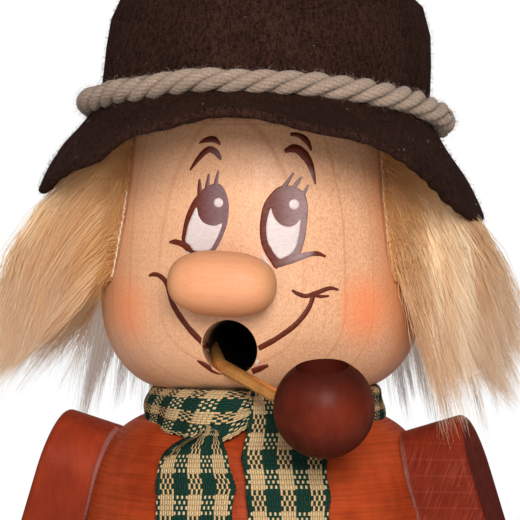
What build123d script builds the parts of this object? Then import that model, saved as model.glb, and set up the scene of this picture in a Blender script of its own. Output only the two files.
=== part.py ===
from build123d import *
import math
import os

os.makedirs("parts", exist_ok=True)

# An incense smoker: a turned dwarf whose upper half lifts off a loose ring on the lower half,
# so that an incense cone can be lit on the plate inside. The smoke rises through the neck
# and leaves by the mouth. Millimetres, Z up, the face towards -Y, the origin under the base.

# Clearances, each on one side
glue_gap = 0.05
running_gap = 0.06
cloth_gap = 0.3

# Base plate and its screws
base_radius = 54.0
base_height = 9.0
base_edge_round = 2.5
screw_radius = 2.0
screw_length = 30.0
screw_head_radius = 4.0
screw_head_height = 2.5
screw_recess = 0.8
screw_slot_width = 1.0
screw_slot_depth = 1.0

# Shoes, the two halves of one turned egg
shoe_heel_reach = 17.0
shoe_toe_reach = 33.0
shoe_heel_radius = 13.0
shoe_toe_radius = 15.5
shoe_toe_centre = 15.0
shoe_seat_height = 9.0
shoe_splay_angle = 9.0

# Legs, which stand in the shoes and in sockets under the lower body
leg_spacing = 36.0
leg_setback = 4.0
leg_radius = 12.0
leg_reach = 22.0
leg_socket_depth = 9.0

# Lower body, with the well for the incense plate and the seat of the spigot ring
waist_radius = 44.0
waist_chamfer = 0.8
lower_foot_radius = 25.0
lower_height = 48.0
lower_round_height = 26.0
well_depth = 6.0
air_hole_radius = 2.4

# Spigot ring
ring_radius = 29.0
ring_wall = 4.5
ring_seat = 9.0
ring_rise = 9.0
ring_headroom = 1.0
ring_edge = 0.6

# Incense plate and its tacks
plate_radius = 19.0
plate_flare = 2.0
plate_rim = 2.5
plate_sheet = 0.8
cone_seat_radius = 8.0
cone_seat_rise = 1.2
tack_count = 3
tack_circle = 12.0
tack_radius = 0.7
tack_length = 6.0
tack_head_radius = 1.5
tack_head_height = 0.8

# Torso: drops are measured down from its top
torso_height = 70.0
chest_radius = 38.9
chest_drop = 28.6
shoulder_radius = 31.4
shoulder_drop = 9.2
neck_radius = 19.5
neck_drop = 3.5
neck_slope_angle = 17.0
chamber_radius = 26.0
chamber_drop = 20.0
chamber_round = 6.0

# Neck tube
tube_radius = 11.0
tube_bore = 8.0
tube_depth = 14.0
tube_margin = 0.6

# Arms: flat slabs on flats milled on the sides of the torso
arm_tilt_angle = 17.0
arm_thickness = 14.0
arm_radius = 13.0
arm_setback = 1.5
arm_edge_round = 1.5
elbow_inner_drop = 20.0
elbow_outer_drop = 46.0
elbow_inner_round = 6.0
elbow_outer_round = 19.0
wrist_reach = 40.0
wrist_top_drop = 23.0
wrist_bottom_drop = 41.0
dowel_radius = 3.0
dowel_length = 14.0

# Hands
hand_radius = 9.5
hand_offset = 6.5
pin_radius = 2.0
pin_length = 12.0

# Head: heights are measured up from its underside
head_radius = 35.3
head_foot_radius = 20.0
head_widest_height = 19.0
brow_radius = 32.8
brow_height = 54.0
temple_radius = 29.4
temple_height = 66.0
head_height = 77.0
mouth_radius = 6.0
mouth_height = 10.6
smoke_headroom = 0.5

# Nose
nose_length = 23.4
nose_radius = 7.0
nose_shoulder = 7.0
nose_shoulder_radius = 6.1
nose_roll_angle = 3.0
nose_height = 24.5
nose_bite = 1.5
nose_pin_radius = 1.5
nose_pin_length = 12.0
nose_pin_in_nose = 6.0

# Pipe: places are measured from the mouth hole, sideways, from the head's axis, and upwards
stem_radius = 1.5
stem_inner_end = (-8.1, -16.3, 0.4)
stem_bend_point = (-3.2, -28.3, -4.0)
stem_bend_radius = 4.0
bowl_place = (22.5, -43.3, -11.9)
bowl_radius = 10.7
bowl_bore_radius = 5.6
bowl_bore_depth = 7.0
bowl_lean_angle = 14.0
stem_tip_from_bowl = (-4.3, 1.1, -1.0)

# Felt hat, in its own frame: origin in the middle of the rope band, tilted back on the head
hat_height = 60.6
hat_back = 2.2
hat_tilt_angle = 9.3
hat_turn_angle = 12.0
felt = 2.2
crown_radius = 36.2
crown_straight = 6.0
crown_foot_drop = 2.0
crown_shoulder_radius = 32.3
crown_shoulder_height = 23.9
crown_top_radius = 15.0
crown_top_height = 31.4
crown_dent = 1.5
brim_width = 24.0
brim_root_drop = 0.5
brim_droop_angle = 40.8
brim_front_angle = 2.8
brim_side_angle = 13.2
brim_corner_angle = 7.3
brim_steps = 12

# Rope band, a plain ring whose cut ends meet at the back
rope_radius = 2.65
rope_rise = 0.8
rope_end_gap = 0.5

# Hair: long pile on a woven strip that runs round the back of the head
hair_left_angle = 64.0
hair_right_angle = -54.0
hair_back_left_angle = 112.0
hair_back_right_angle = -112.0
backing_sheet = 1.4
backing_bottom = 20.0
backing_under_hat = 8.9
hair_top_radius = 37.5
hair_under_hat = 17.9
hair_swell_radius = 50.0
hair_swell = 28.0
hair_tip_radius = 58.5
hair_tip = -3.0
hair_tip_inner_radius = 45.0
hair_root = 20.0
hair_part_angle = 0.4

# Scarf: a ribbon laid round the neck, knotted on the right, with two hanging tails
ribbon_width = 17.7
cloth_sheet = 1.2
collar_radius = 27.8
collar_top = 1.8
collar_bottom = 7.0
collar_lip_radius = 24.5
knot_angle = -10.0
knot_radius = 4.2
knot_length = 9.0
knot_drop = 6.5
knot_round = 2.0
tail_fold = 1.4
tail_folds = 2

# The tails' level cuts from the top: angle from the face, share of the ribbon's width, drop
left_tail_angles = (18.0, 20.0, 21.0, 20.0, 20.5, 20.5, 20.5)
left_tail_shares = (0.59, 0.76, 0.96, 1.0, 1.0, 1.0, 1.0)
left_tail_drops = (0.5, 5.0, 10.5, 14.0, 21.0, 33.0, 48.0)
left_tail_on_collar = 2
right_tail_angles = (-10.5, -12.0, -11.5, -10.0, -10.0, -10.0)
right_tail_shares = (0.45, 0.65, 0.95, 1.0, 1.0, 1.0)
right_tail_drops = (8.0, 11.0, 17.0, 26.0, 38.0, 50.0)
right_tail_on_collar = 0

# Levels
shoe_seat_z = base_height + shoe_seat_height
lower_z = shoe_seat_z + leg_reach
waist_z = lower_z + lower_height
ring_z = waist_z - ring_seat
well_z = ring_z - well_depth
torso_top_z = waist_z + torso_height
head_z = torso_top_z
mouth_z = head_z + mouth_height
ring_bore = ring_radius - ring_wall
backing_top = hat_height - backing_under_hat
hair_top = hat_height - hair_under_hat
cutter = 4 * waist_radius


def turn(*edges):
    # A solid turned about the Z axis from the edges of its half outline
    return revolve(Plane.XZ * make_face(edges), Axis.Z)


def sector(start, end, *edges):
    # The same, between two angles that are measured from the face towards +X
    part_turn = revolve(Plane.XZ * make_face(edges), Axis.Z, revolution_arc=end - start)
    return Rot(Z=start - 90) * part_turn


def rod(radius, low, high):
    # An upright cylinder between two levels
    return Pos(Z=low) * Cylinder(radius, high - low, align=(Align.CENTER, Align.CENTER, Align.MIN))


def mirrored(piece):
    return mirror(piece, Plane.YZ)


def leg_place(side):
    return Pos(X=side * leg_spacing / 2, Y=leg_setback)


# Base


def make_screw():
    head_top = screw_recess + screw_head_height
    tip = screw_recess + screw_length
    screw = turn(
        Polyline(
            (0, screw_recess),
            (screw_head_radius, screw_recess),
            (screw_radius, head_top),
            (screw_radius, tip - screw_radius),
            (0, tip),
            (0, screw_recess),
        )
    )
    slot = Pos(Z=screw_recess) * Box(2 * screw_head_radius, screw_slot_width, 2 * screw_slot_depth)
    return screw - slot


def screw_hole():
    radius = screw_radius + glue_gap
    head = screw_head_radius + glue_gap
    head_top = screw_recess + screw_head_height
    tip = screw_recess + screw_length + glue_gap
    return turn(
        Polyline((0, 0), (head, 0), (head, screw_recess), (radius, head_top), (radius, tip), (0, tip), (0, 0))
    )


def make_base():
    plate = rod(base_radius, 0, base_height)
    plate = fillet(plate.edges().group_by(Axis.Z)[-1], base_edge_round)
    for side in (-1, 1):
        plate -= leg_place(side) * screw_hole()
    return plate


def make_shoe(side):
    top_line = Spline(
        (0, -shoe_toe_reach),
        (shoe_toe_radius, -shoe_toe_centre),
        (shoe_heel_radius, 0),
        (0, shoe_heel_reach),
        tangents=((1, 0), (-1, 0)),
    )
    egg = revolve(make_face([top_line, Line(top_line @ 1, top_line @ 0)]), Axis.Y)
    half = split(egg, bisect_by=Plane.XY, keep=Keep.TOP)
    shoe = leg_place(side) * Pos(Z=base_height) * Rot(Z=side * shoe_splay_angle) * half
    shoe -= leg_place(side) * rod(leg_radius + glue_gap, shoe_seat_z, lower_z)
    return shoe - leg_place(side) * screw_hole()


def make_leg(side):
    leg = leg_place(side) * rod(leg_radius, shoe_seat_z, lower_z + leg_socket_depth)
    return leg - leg_place(side) * screw_hole()


# Lower body


def tack_places():
    return [Rot(Z=360 * step / tack_count) * Pos(X=tack_circle) for step in range(tack_count)]


def make_lower_body():
    corner = (waist_radius, lower_height - waist_chamfer)
    body = Pos(Z=lower_z) * turn(
        Line((0, 0), (lower_foot_radius, 0)),
        EllipticalCenterArc(
            (lower_foot_radius, lower_round_height),
            waist_radius - lower_foot_radius,
            lower_round_height,
            start_angle=270,
            arc_size=90,
        ),
        Polyline(
            (waist_radius, lower_round_height),
            corner,
            (waist_radius - waist_chamfer, lower_height),
            (0, lower_height),
            (0, 0),
        ),
    )
    body -= rod(ring_radius + running_gap, ring_z, waist_z)
    body -= rod(ring_bore, well_z, ring_z)
    air_hole = Rot(X=-90) * rod(air_hole_radius, 0, waist_radius + well_depth)
    body -= Pos(Z=well_z + well_depth / 2) * air_hole
    for side in (-1, 1):
        socket_top = lower_z + leg_socket_depth + glue_gap
        body -= leg_place(side) * rod(leg_radius + glue_gap, shoe_seat_z, socket_top)
    for place in tack_places():
        body -= place * rod(tack_radius + glue_gap, well_z + plate_sheet - tack_length - glue_gap, well_z)
    return body


def make_ring():
    ring = rod(ring_radius, ring_z, waist_z + ring_rise) - rod(ring_bore, ring_z, waist_z + ring_rise)
    return chamfer(ring.edges().filter_by(GeomType.CIRCLE), ring_edge)


def make_plate():
    # A pressed sheet with a flared rim and a raised round seat for the cone
    flat = plate_radius - plate_flare
    half_sheet = plate_sheet / 2
    plate = turn(
        Polyline(
            (0, cone_seat_rise),
            (cone_seat_radius - half_sheet, cone_seat_rise),
            (cone_seat_radius, 0),
            (flat, 0),
            (plate_radius, plate_rim),
            (plate_radius - plate_sheet, plate_rim),
            (flat - half_sheet, plate_sheet),
            (cone_seat_radius + half_sheet, plate_sheet),
            (cone_seat_radius, cone_seat_rise + plate_sheet),
            (0, cone_seat_rise + plate_sheet),
            (0, cone_seat_rise),
        )
    )
    plate = Pos(Z=well_z) * plate
    for place in tack_places():
        plate -= place * rod(tack_radius + glue_gap, well_z, well_z + plate_sheet)
    return plate


def make_tacks():
    seat = well_z + plate_sheet
    tacks = []
    for place in tack_places():
        head = rod(tack_head_radius, seat, seat + tack_head_height)
        tacks.append(place * (head + rod(tack_radius, seat - tack_length, seat)))
    return Compound(tacks)


# Torso and neck

neck_slope = math.radians(neck_slope_angle)
torso_side = Spline(
    (waist_radius, waist_chamfer),
    (chest_radius, torso_height - chest_drop),
    (shoulder_radius, torso_height - shoulder_drop),
    (neck_radius, torso_height - neck_drop),
    tangents=((0, 1), (-math.cos(neck_slope), math.sin(neck_slope))),
)


def torso_form(grow):
    # The turned outside of the torso, larger by the same amount all round
    side = Pos(X=grow) * torso_side
    return Pos(Z=waist_z) * turn(
        Polyline((0, 0), (waist_radius - waist_chamfer + grow, 0), side @ 0),
        side,
        Polyline(side @ 1, (neck_radius + grow, torso_height), (0, torso_height), (0, 0)),
    )


def torso_radius(drop):
    # Radius of the turned torso at a depth below its top, by halving along its side
    height = torso_height - drop
    low = 0.0
    high = 1.0
    while high - low > 1e-6:
        middle = (low + high) / 2
        if (torso_side @ middle).Y < height:
            low = middle
        else:
            high = middle
    return (torso_side @ low).X


def arm_plane(side):
    # The flat on one side of the torso, its origin in the middle of the arm's round cap
    tilt = math.radians(arm_tilt_angle)
    origin = (
        side * (shoulder_radius + arm_radius * math.sin(tilt)),
        arm_setback,
        torso_top_z - shoulder_drop - arm_radius * math.cos(tilt),
    )
    return Plane(origin, x_dir=(0, -1, 0), z_dir=(side * math.cos(tilt), 0, math.sin(tilt)))


def dowel(side, grow):
    return arm_plane(side) * Cylinder(dowel_radius + grow, dowel_length + 2 * grow)


def make_torso():
    torso = torso_form(0)
    chamber_top = torso_top_z - chamber_drop
    chamber = rod(chamber_radius, waist_z, chamber_top)
    chamber = fillet(chamber.edges().group_by(Axis.Z)[-1], chamber_round)
    torso -= chamber
    torso -= rod(ring_radius + running_gap, waist_z, waist_z + ring_rise + ring_headroom)
    torso -= rod(tube_bore, chamber_top - chamber_round, torso_top_z)
    torso -= rod(tube_radius + glue_gap, torso_top_z - tube_depth, torso_top_z)
    outside = Box(cutter, cutter, cutter, align=(Align.CENTER, Align.CENTER, Align.MIN))
    for side in (-1, 1):
        torso -= arm_plane(side) * outside
        torso -= dowel(side, glue_gap)
    return torso


def make_neck_tube():
    low = torso_top_z - tube_depth
    high = mouth_z - mouth_radius - tube_margin
    return rod(tube_radius, low, high) - rod(tube_bore, low, high)


# Arms and hands


def wrist_place():
    # On the middle of the left wrist's end face, its Z axis out of the arm
    middle_drop = (wrist_top_drop + wrist_bottom_drop) / 2
    return arm_plane(1) * Pos(wrist_reach, middle_drop, arm_thickness / 2) * Rot(Y=90)


def hand_pin(grow):
    return wrist_place() * Cylinder(pin_radius + grow, pin_length + 2 * grow)


def make_left_arm():
    cap_front = (arm_radius, 0)
    cap_back = (-arm_radius, 0)
    lower_edge = FilletPolyline(
        cap_front,
        (arm_radius, elbow_inner_drop),
        (wrist_reach, wrist_top_drop),
        (wrist_reach, wrist_bottom_drop),
        (-arm_radius, elbow_outer_drop),
        cap_back,
        radius=(elbow_inner_round, arm_edge_round, arm_edge_round, elbow_outer_round),
    )
    cap = ThreePointArc(cap_back, (0, -arm_radius), cap_front)
    arm = arm_plane(1) * extrude(make_face([lower_edge, cap]), arm_thickness)
    arm = fillet(arm.faces().sort_by(Axis.X)[-1].edges(), arm_edge_round)
    return arm - dowel(1, glue_gap) - hand_pin(glue_gap)


def make_left_hand():
    ball = wrist_place() * Pos(Z=hand_offset) * Sphere(hand_radius)
    behind = Box(cutter, cutter, cutter, align=(Align.CENTER, Align.CENTER, Align.MAX))
    return ball - wrist_place() * behind - hand_pin(glue_gap)


# Head and pipe


def head_form(grow):
    # The turned outside of the head, larger by the same amount all round
    side = Spline(
        (head_radius + grow, head_widest_height),
        (brow_radius + grow, brow_height),
        (temple_radius + grow, temple_height),
        (0, head_height + grow),
        tangents=((0, 1), (-1, 0)),
    )
    foot = EllipticalCenterArc(
        (head_foot_radius, head_widest_height),
        head_radius + grow - head_foot_radius,
        head_widest_height + grow,
        start_angle=270,
        arc_size=90,
    )
    return Pos(Z=head_z) * turn(
        Line((0, head_height + grow), (0, -grow)),
        Line((0, -grow), (head_foot_radius, -grow)),
        foot,
        side,
    )


def stem_points():
    mouth = Vector(0, 0, mouth_z)
    bowl = mouth + Vector(bowl_place)
    return [mouth + Vector(stem_inner_end), mouth + Vector(stem_bend_point), bowl + Vector(stem_tip_from_bowl)]


def stem_form(grow):
    path = FilletPolyline(*stem_points(), radius=stem_bend_radius)
    start = Plane(path @ 0, z_dir=path % 0)
    return sweep(start * Circle(stem_radius + grow), path)


def nose_place():
    return Pos(0, -(head_radius + nose_radius - nose_bite), head_z + nose_height)


def nose_pin(grow):
    middle = Pos(0, nose_pin_length / 2 - nose_pin_in_nose - head_radius, head_z + nose_height)
    return middle * Rot(X=90) * Cylinder(nose_pin_radius + grow, nose_pin_length + 2 * grow)


def make_head():
    head = head_form(0)
    head -= rod(tube_radius + glue_gap, head_z, mouth_z - mouth_radius - tube_margin + glue_gap)
    head -= rod(tube_bore, head_z, mouth_z + mouth_radius + smoke_headroom)
    head -= Pos(Z=mouth_z) * Rot(X=90) * rod(mouth_radius, 0, 2 * head_radius)
    return head - stem_form(glue_gap) - nose_pin(glue_gap)


def make_nose():
    side = Spline(
        (nose_radius, 0),
        (nose_shoulder_radius, nose_shoulder),
        (0, nose_length / 2),
        tangents=((0, 1), (-1, 0)),
    )
    half = turn(Line((0, 0), (nose_radius, 0)), side, Line((0, nose_length / 2), (0, 0)))
    bead = nose_place() * Rot(Y=90 + nose_roll_angle) * (half + mirror(half, Plane.XY))
    return bead - head_form(glue_gap) - nose_pin(glue_gap)


def make_bowl():
    ball = Pos(Vector(0, 0, mouth_z) + Vector(bowl_place)) * Rot(X=bowl_lean_angle)
    bore = Pos(Z=bowl_radius) * Cylinder(bowl_bore_radius, 2 * bowl_bore_depth)
    return ball * (Sphere(bowl_radius) - bore) - stem_form(glue_gap)


# Hat

hat_place = Pos(0, hat_back, head_z + hat_height) * Rot(X=-hat_tilt_angle) * Rot(Z=hat_turn_angle)


def crown_form(inset):
    wall = crown_radius - inset
    top = crown_top_height - inset
    side = Spline(
        (wall, crown_straight),
        (crown_shoulder_radius - inset, crown_shoulder_height - inset),
        (crown_top_radius, top),
        (0, top - crown_dent),
        tangents=((0, 1), (-1, 0)),
    )
    return turn(
        Polyline((0, top - crown_dent), (0, -crown_foot_drop), (wall, -crown_foot_drop), (wall, crown_straight)),
        side,
    )


def brim_section(angle):
    # The brim cut by an upright plane at one angle from its front, where it droops the least
    turn_angle = math.radians(angle)
    droop = math.radians(
        brim_droop_angle
        + brim_front_angle * math.cos(turn_angle)
        - brim_side_angle * math.cos(2 * turn_angle)
        - brim_corner_angle * math.cos(3 * turn_angle)
    )
    out = math.cos(droop)
    down = math.sin(droop)
    root = Vector(crown_radius - felt / 2, -brim_root_drop)
    edge = root + Vector(out, -down) * brim_width
    under = Vector(-down, -out) * felt
    outline = Polyline(root, edge, edge + under, root + under, close=True)
    return Rot(Z=angle - 90) * (Plane.XZ * make_face(outline))


def make_hat():
    half = loft([brim_section(180 * step / brim_steps) for step in range(brim_steps + 1)])
    hat = crown_form(0) + half + mirrored(half) - crown_form(felt)
    return hat_place * hat


def make_rope():
    ring_size = crown_radius + rope_radius + glue_gap
    gap_angle = math.degrees(rope_end_gap / ring_size)
    path = Plane.XZ * Pos(ring_size, rope_rise) * Circle(rope_radius)
    band = revolve(path, Axis.Z, revolution_arc=360 - gap_angle)
    return hat_place * Rot(Z=90 + gap_angle / 2) * band


# Hair


def strip(start, end, inner, outer, low, high):
    return Pos(Z=head_z) * sector(
        start, end, Polyline((inner, low), (outer, low), (outer, high), (inner, high), close=True)
    )


def make_backing():
    band = strip(
        hair_left_angle, 360 + hair_right_angle, temple_radius, hair_tip_radius, backing_bottom, backing_top
    )
    return band & (head_form(glue_gap + backing_sheet) - head_form(glue_gap))


def make_hair(start, end):
    pile = Pos(Z=head_z) * sector(
        start,
        end,
        Spline((hair_top_radius, hair_top), (hair_swell_radius, hair_swell), (hair_tip_radius, hair_tip)),
        Polyline(
            (hair_tip_radius, hair_tip),
            (hair_tip_inner_radius, hair_tip),
            (brow_radius, hair_root),
            (brow_radius, hair_top),
            (hair_top_radius, hair_top),
        ),
    )
    return pile - head_form(glue_gap + backing_sheet + cloth_gap)


# Scarf


def around(angle, radius, drop):
    # A point at an angle from the face, a radius from the axis and a drop below the head
    turn_angle = math.radians(angle)
    return Vector(radius * math.sin(turn_angle), -radius * math.cos(turn_angle), head_z - drop)


def cloth_section(middle, width, radius, drop, fold):
    # A level cut through a hanging tail: arcs that swing out and in along its width
    spread = math.degrees(width / radius)
    steps = 4 * tail_folds
    outer = []
    inner = []
    for step in range(steps + 1):
        angle = middle + spread * (step / steps - 0.5)
        swing = fold * (0.5 + 0.5 * math.sin(math.pi * step / 2))
        outer.append(around(angle, radius + swing + cloth_sheet, drop))
        inner.append(around(angle, radius + swing, drop))
    edges = [Line(outer[-1], inner[-1]), Line(inner[0], outer[0])]
    for first in range(0, steps, 2):
        edges.append(ThreePointArc(*outer[first : first + 3]))
        edges.append(ThreePointArc(*inner[first : first + 3]))
    return make_face(edges)


def make_tail(angles, shares, drops, on_collar):
    # The first cuts of a tail lie on the collar, the others on the torso
    cuts = []
    for step, (angle, share, drop) in enumerate(zip(angles, shares, drops)):
        if step < on_collar:
            radius = collar_radius - (on_collar - 1 - step) * cloth_sheet
        else:
            radius = torso_radius(drop) + 2 * cloth_gap
        cuts.append(cloth_section(angle, share * ribbon_width, radius, drop, tail_fold))
    return loft(cuts, ruled=True)


def make_scarf():
    collar = Pos(Z=head_z) * turn(
        Polyline((0, -collar_bottom), (0, collar_top), (collar_lip_radius, collar_top)),
        ThreePointArc(
            (collar_lip_radius, collar_top), (collar_radius, -collar_bottom / 2), (collar_lip_radius, -collar_bottom)
        ),
        Line((collar_lip_radius, -collar_bottom), (0, -collar_bottom)),
    )
    knot = fillet(Cylinder(knot_radius, knot_length).edges(), knot_round)
    knot_turn = Rot(Z=knot_angle)
    knot_at = Pos(0, -collar_radius, head_z - knot_drop)
    knot = knot_turn * knot_at * Rot(Y=90) * knot
    left_tail = make_tail(left_tail_angles, left_tail_shares, left_tail_drops, left_tail_on_collar)
    right_tail = make_tail(right_tail_angles, right_tail_shares, right_tail_drops, right_tail_on_collar)
    scarf = collar + knot + left_tail + right_tail
    return scarf - torso_form(cloth_gap) - head_form(cloth_gap)


left_arm = make_left_arm()
left_hand = make_left_hand()
pieces = {
    "base_plate": make_base(),
    "base_screws": Compound([leg_place(side) * make_screw() for side in (-1, 1)]),
    "left_shoe": make_shoe(1),
    "right_shoe": make_shoe(-1),
    "left_leg": make_leg(1),
    "right_leg": make_leg(-1),
    "lower_body": make_lower_body(),
    "incense_plate": make_plate(),
    "plate_tacks": make_tacks(),
    "spigot_ring": make_ring(),
    "torso": make_torso(),
    "neck_tube": make_neck_tube(),
    "left_arm": left_arm,
    "right_arm": mirrored(left_arm),
    "arm_dowels": Compound([dowel(side, 0) for side in (-1, 1)]),
    "left_hand": left_hand,
    "right_hand": mirrored(left_hand),
    "hand_pins": Compound([hand_pin(0), mirrored(hand_pin(0))]),
    "head": make_head(),
    "nose": make_nose(),
    "nose_pin": nose_pin(0),
    "pipe_stem": stem_form(0),
    "pipe_bowl": make_bowl(),
    "felt_hat": make_hat(),
    "hat_rope": make_rope(),
    "hair_backing": make_backing(),
    "left_hair": make_hair(hair_left_angle, hair_back_left_angle - hair_part_angle),
    "right_hair": make_hair(hair_back_right_angle + hair_part_angle, hair_right_angle),
    "back_hair": make_hair(hair_back_left_angle, 360 + hair_back_right_angle),
    "scarf": make_scarf(),
}
for name, piece in pieces.items():
    export_step(piece, f"parts/{name}.step")
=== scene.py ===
import bpy
import bmesh
import math
from mathutils import Matrix, Vector, noise
from mathutils.bvhtree import BVHTree
from mathutils.geometry import delaunay_2d_cdt


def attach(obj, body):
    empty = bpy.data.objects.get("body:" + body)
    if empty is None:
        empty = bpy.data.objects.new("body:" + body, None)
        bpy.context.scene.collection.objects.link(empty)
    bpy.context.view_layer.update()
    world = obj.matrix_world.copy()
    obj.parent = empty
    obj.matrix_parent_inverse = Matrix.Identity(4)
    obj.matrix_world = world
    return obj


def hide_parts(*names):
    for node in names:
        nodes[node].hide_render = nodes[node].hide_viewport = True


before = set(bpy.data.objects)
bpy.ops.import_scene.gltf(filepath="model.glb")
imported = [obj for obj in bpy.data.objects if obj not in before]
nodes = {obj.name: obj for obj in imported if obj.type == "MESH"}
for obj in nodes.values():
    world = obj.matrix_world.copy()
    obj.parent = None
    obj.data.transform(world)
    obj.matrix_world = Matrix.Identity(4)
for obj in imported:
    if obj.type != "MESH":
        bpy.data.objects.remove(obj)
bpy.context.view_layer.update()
scene = bpy.context.scene
scene.view_settings.view_transform = "Standard"
mm = 0.001
headZ = 158.0  # underside of the head, in millimetres like all sizes below


def linear(red, green, blue):  # a colour as a paint program shows it, 0 to 255
    def one(value):
        value /= 255
        return value / 12.92 if value <= 0.04045 else ((value + 0.055) / 1.055) ** 2.4

    return (one(red), one(green), one(blue), 1.0)


def palette(tones):
    return {key: linear(*rgb) for key, rgb in tones.items()}


def smooth(value, low, high):
    t = min(max((value - low) / (high - low), 0.0), 1.0)
    return t * t * (3 - 2 * t)


def keyed(table, x):  # a value between the keys of a sorted table of pairs, eased at each key
    if x <= table[0][0]:
        return table[0][1]
    for (x0, y0), (x1, y1) in zip(table, table[1:]):
        if x <= x1:
            return y0 + (y1 - y0) * smooth(x, x0, x1)
    return table[-1][1]


def eased(a, b, c, d, t):  # from b to c, led by the numbers before and after them
    bend, twist = 2 * a - 5 * b + 4 * c - d, 3 * b - a - 3 * c + d
    return 0.5 * (2 * b + (c - a) * t + bend * t * t + twist * t**3)


def along(points, step, closed=False):  # a smooth line through points of any size, as rows of numbers
    rows = [list(p) for p in points]
    count = len(rows)
    spans = count if closed else count - 1

    def at(i):
        return rows[i % count] if closed else rows[min(max(i, 0), count - 1)]

    line = []
    for i in range(spans):
        p0, p1, p2, p3 = at(i - 1), at(i), at(i + 1), at(i + 2)
        parts = max(1, round(math.dist(p1[:2], p2[:2]) / step))
        for j in range(parts):
            line.append([eased(*four, j / parts) for four in zip(p0, p1, p2, p3)])
    if not closed:
        line.append(rows[-1])
    return line


# Camera: the photograph's view, with the axis of the figure at one of its pixels

photoView = {
    "azimuth": 12.0,
    "elevation": 2.0,
    "distance": 1000.0,
    "pixel": 0.22,  # millimetres across one pixel at the axis
    "pixels": 520,
    "axisAt": (262, 388),  # pixel of the axis at the underside of the head
    "sensor": 36.0,
}


def viewAxes():
    az = math.radians(photoView["azimuth"])
    el = math.radians(photoView["elevation"])
    back = Vector((math.sin(az) * math.cos(el), -math.cos(az) * math.cos(el), math.sin(el)))
    right = Vector((math.cos(az), math.sin(az), 0))
    return right, back.cross(right), back


def viewPoint():
    right, back = viewAxes()[::2]
    middle = photoView["pixels"] / 2
    axisX, axisY = photoView["axisAt"]
    target = right * (middle - axisX) * photoView["pixel"]
    target += Vector((0, 0, headZ + (axisY - middle) * photoView["pixel"]))
    return target + back * photoView["distance"]


def pixelRay(x, y):  # start and direction, in millimetres, of the sight line through a pixel
    right, up, back = viewAxes()
    middle = photoView["pixels"] / 2
    aim = right * (x - middle) * photoView["pixel"] + up * (middle - y) * photoView["pixel"]
    return viewPoint(), (aim - back * photoView["distance"]).normalized()


def makeCamera():
    right, up, back = viewAxes()
    data = bpy.data.cameras.new("photoCamera")
    data.sensor_width = photoView["sensor"]
    data.lens = photoView["sensor"] * photoView["distance"] / (photoView["pixels"] * photoView["pixel"])
    data.clip_start = 0.01
    camera = bpy.data.objects.new("photoCamera", data)
    turn = Matrix((right, up, back)).transposed().to_4x4()
    camera.matrix_world = Matrix.Translation(viewPoint() * mm) @ turn
    scene.collection.objects.link(camera)
    scene.camera = camera


makeCamera()
print("camera placed")


# Nodes: one class for sockets in expressions, one for adding nodes to any tree


class Val:
    def __init__(self, maker, socket):
        self.maker = maker
        self.socket = socket

    def op(self, kind, other=None, swapped=False):
        pair = (other, self) if swapped else (self, other)
        sockets = {i: v for i, v in enumerate(pair) if v is not None}
        return self.maker.add("ShaderNodeMath", {"operation": kind}, sockets)

    def __add__(self, other):
        return self.op("ADD", other)

    def __radd__(self, other):
        return self.op("ADD", other, True)

    def __sub__(self, other):
        return self.op("SUBTRACT", other)

    def __rsub__(self, other):
        return self.op("SUBTRACT", other, True)

    def __mul__(self, other):
        return self.op("MULTIPLY", other)

    def __rmul__(self, other):
        return self.op("MULTIPLY", other, True)

    def __truediv__(self, other):
        return self.op("DIVIDE", other)

    def __rtruediv__(self, other):
        return self.op("DIVIDE", other, True)

    def out(self, which):
        return Val(self.maker, self.socket.node.outputs[which])


class NodeMaker:
    def __init__(self, tree):
        self.tree = tree

    def feed(self, socket, value):
        if isinstance(value, Val):
            self.tree.links.new(value.socket, socket)
        else:
            socket.default_value = value

    def add(self, kind, settings=None, sockets=None, out=0):
        node = self.tree.nodes.new(kind)
        for key, value in (settings or {}).items():
            setattr(node, key, value)
        for key, value in (sockets or {}).items():
            self.feed(node.inputs[key], value)
        return Val(self, node.outputs[out])

    def vector(self, operation, *values, out=0):
        return self.add("ShaderNodeVectorMath", {"operation": operation}, dict(enumerate(values)), out)

    def times(self, vector, amount):
        return self.add("ShaderNodeVectorMath", {"operation": "SCALE"}, {0: vector, "Scale": amount})

    def blend(self, factor, first, second):  # colours
        return self.add("ShaderNodeMix", {"data_type": "RGBA"}, {0: factor, 6: first, 7: second}, 2)

    def between(self, factor, first, second):  # vectors
        return self.add("ShaderNodeMix", {"data_type": "VECTOR"}, {0: factor, 4: first, 5: second}, 1)

    def ramp(self, value, low, high, start=0.0, end=1.0):
        sockets = {0: value, 1: low, 2: high, 3: start, 4: end}
        return self.add("ShaderNodeMapRange", {"interpolation_type": "SMOOTHSTEP"}, sockets)


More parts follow.
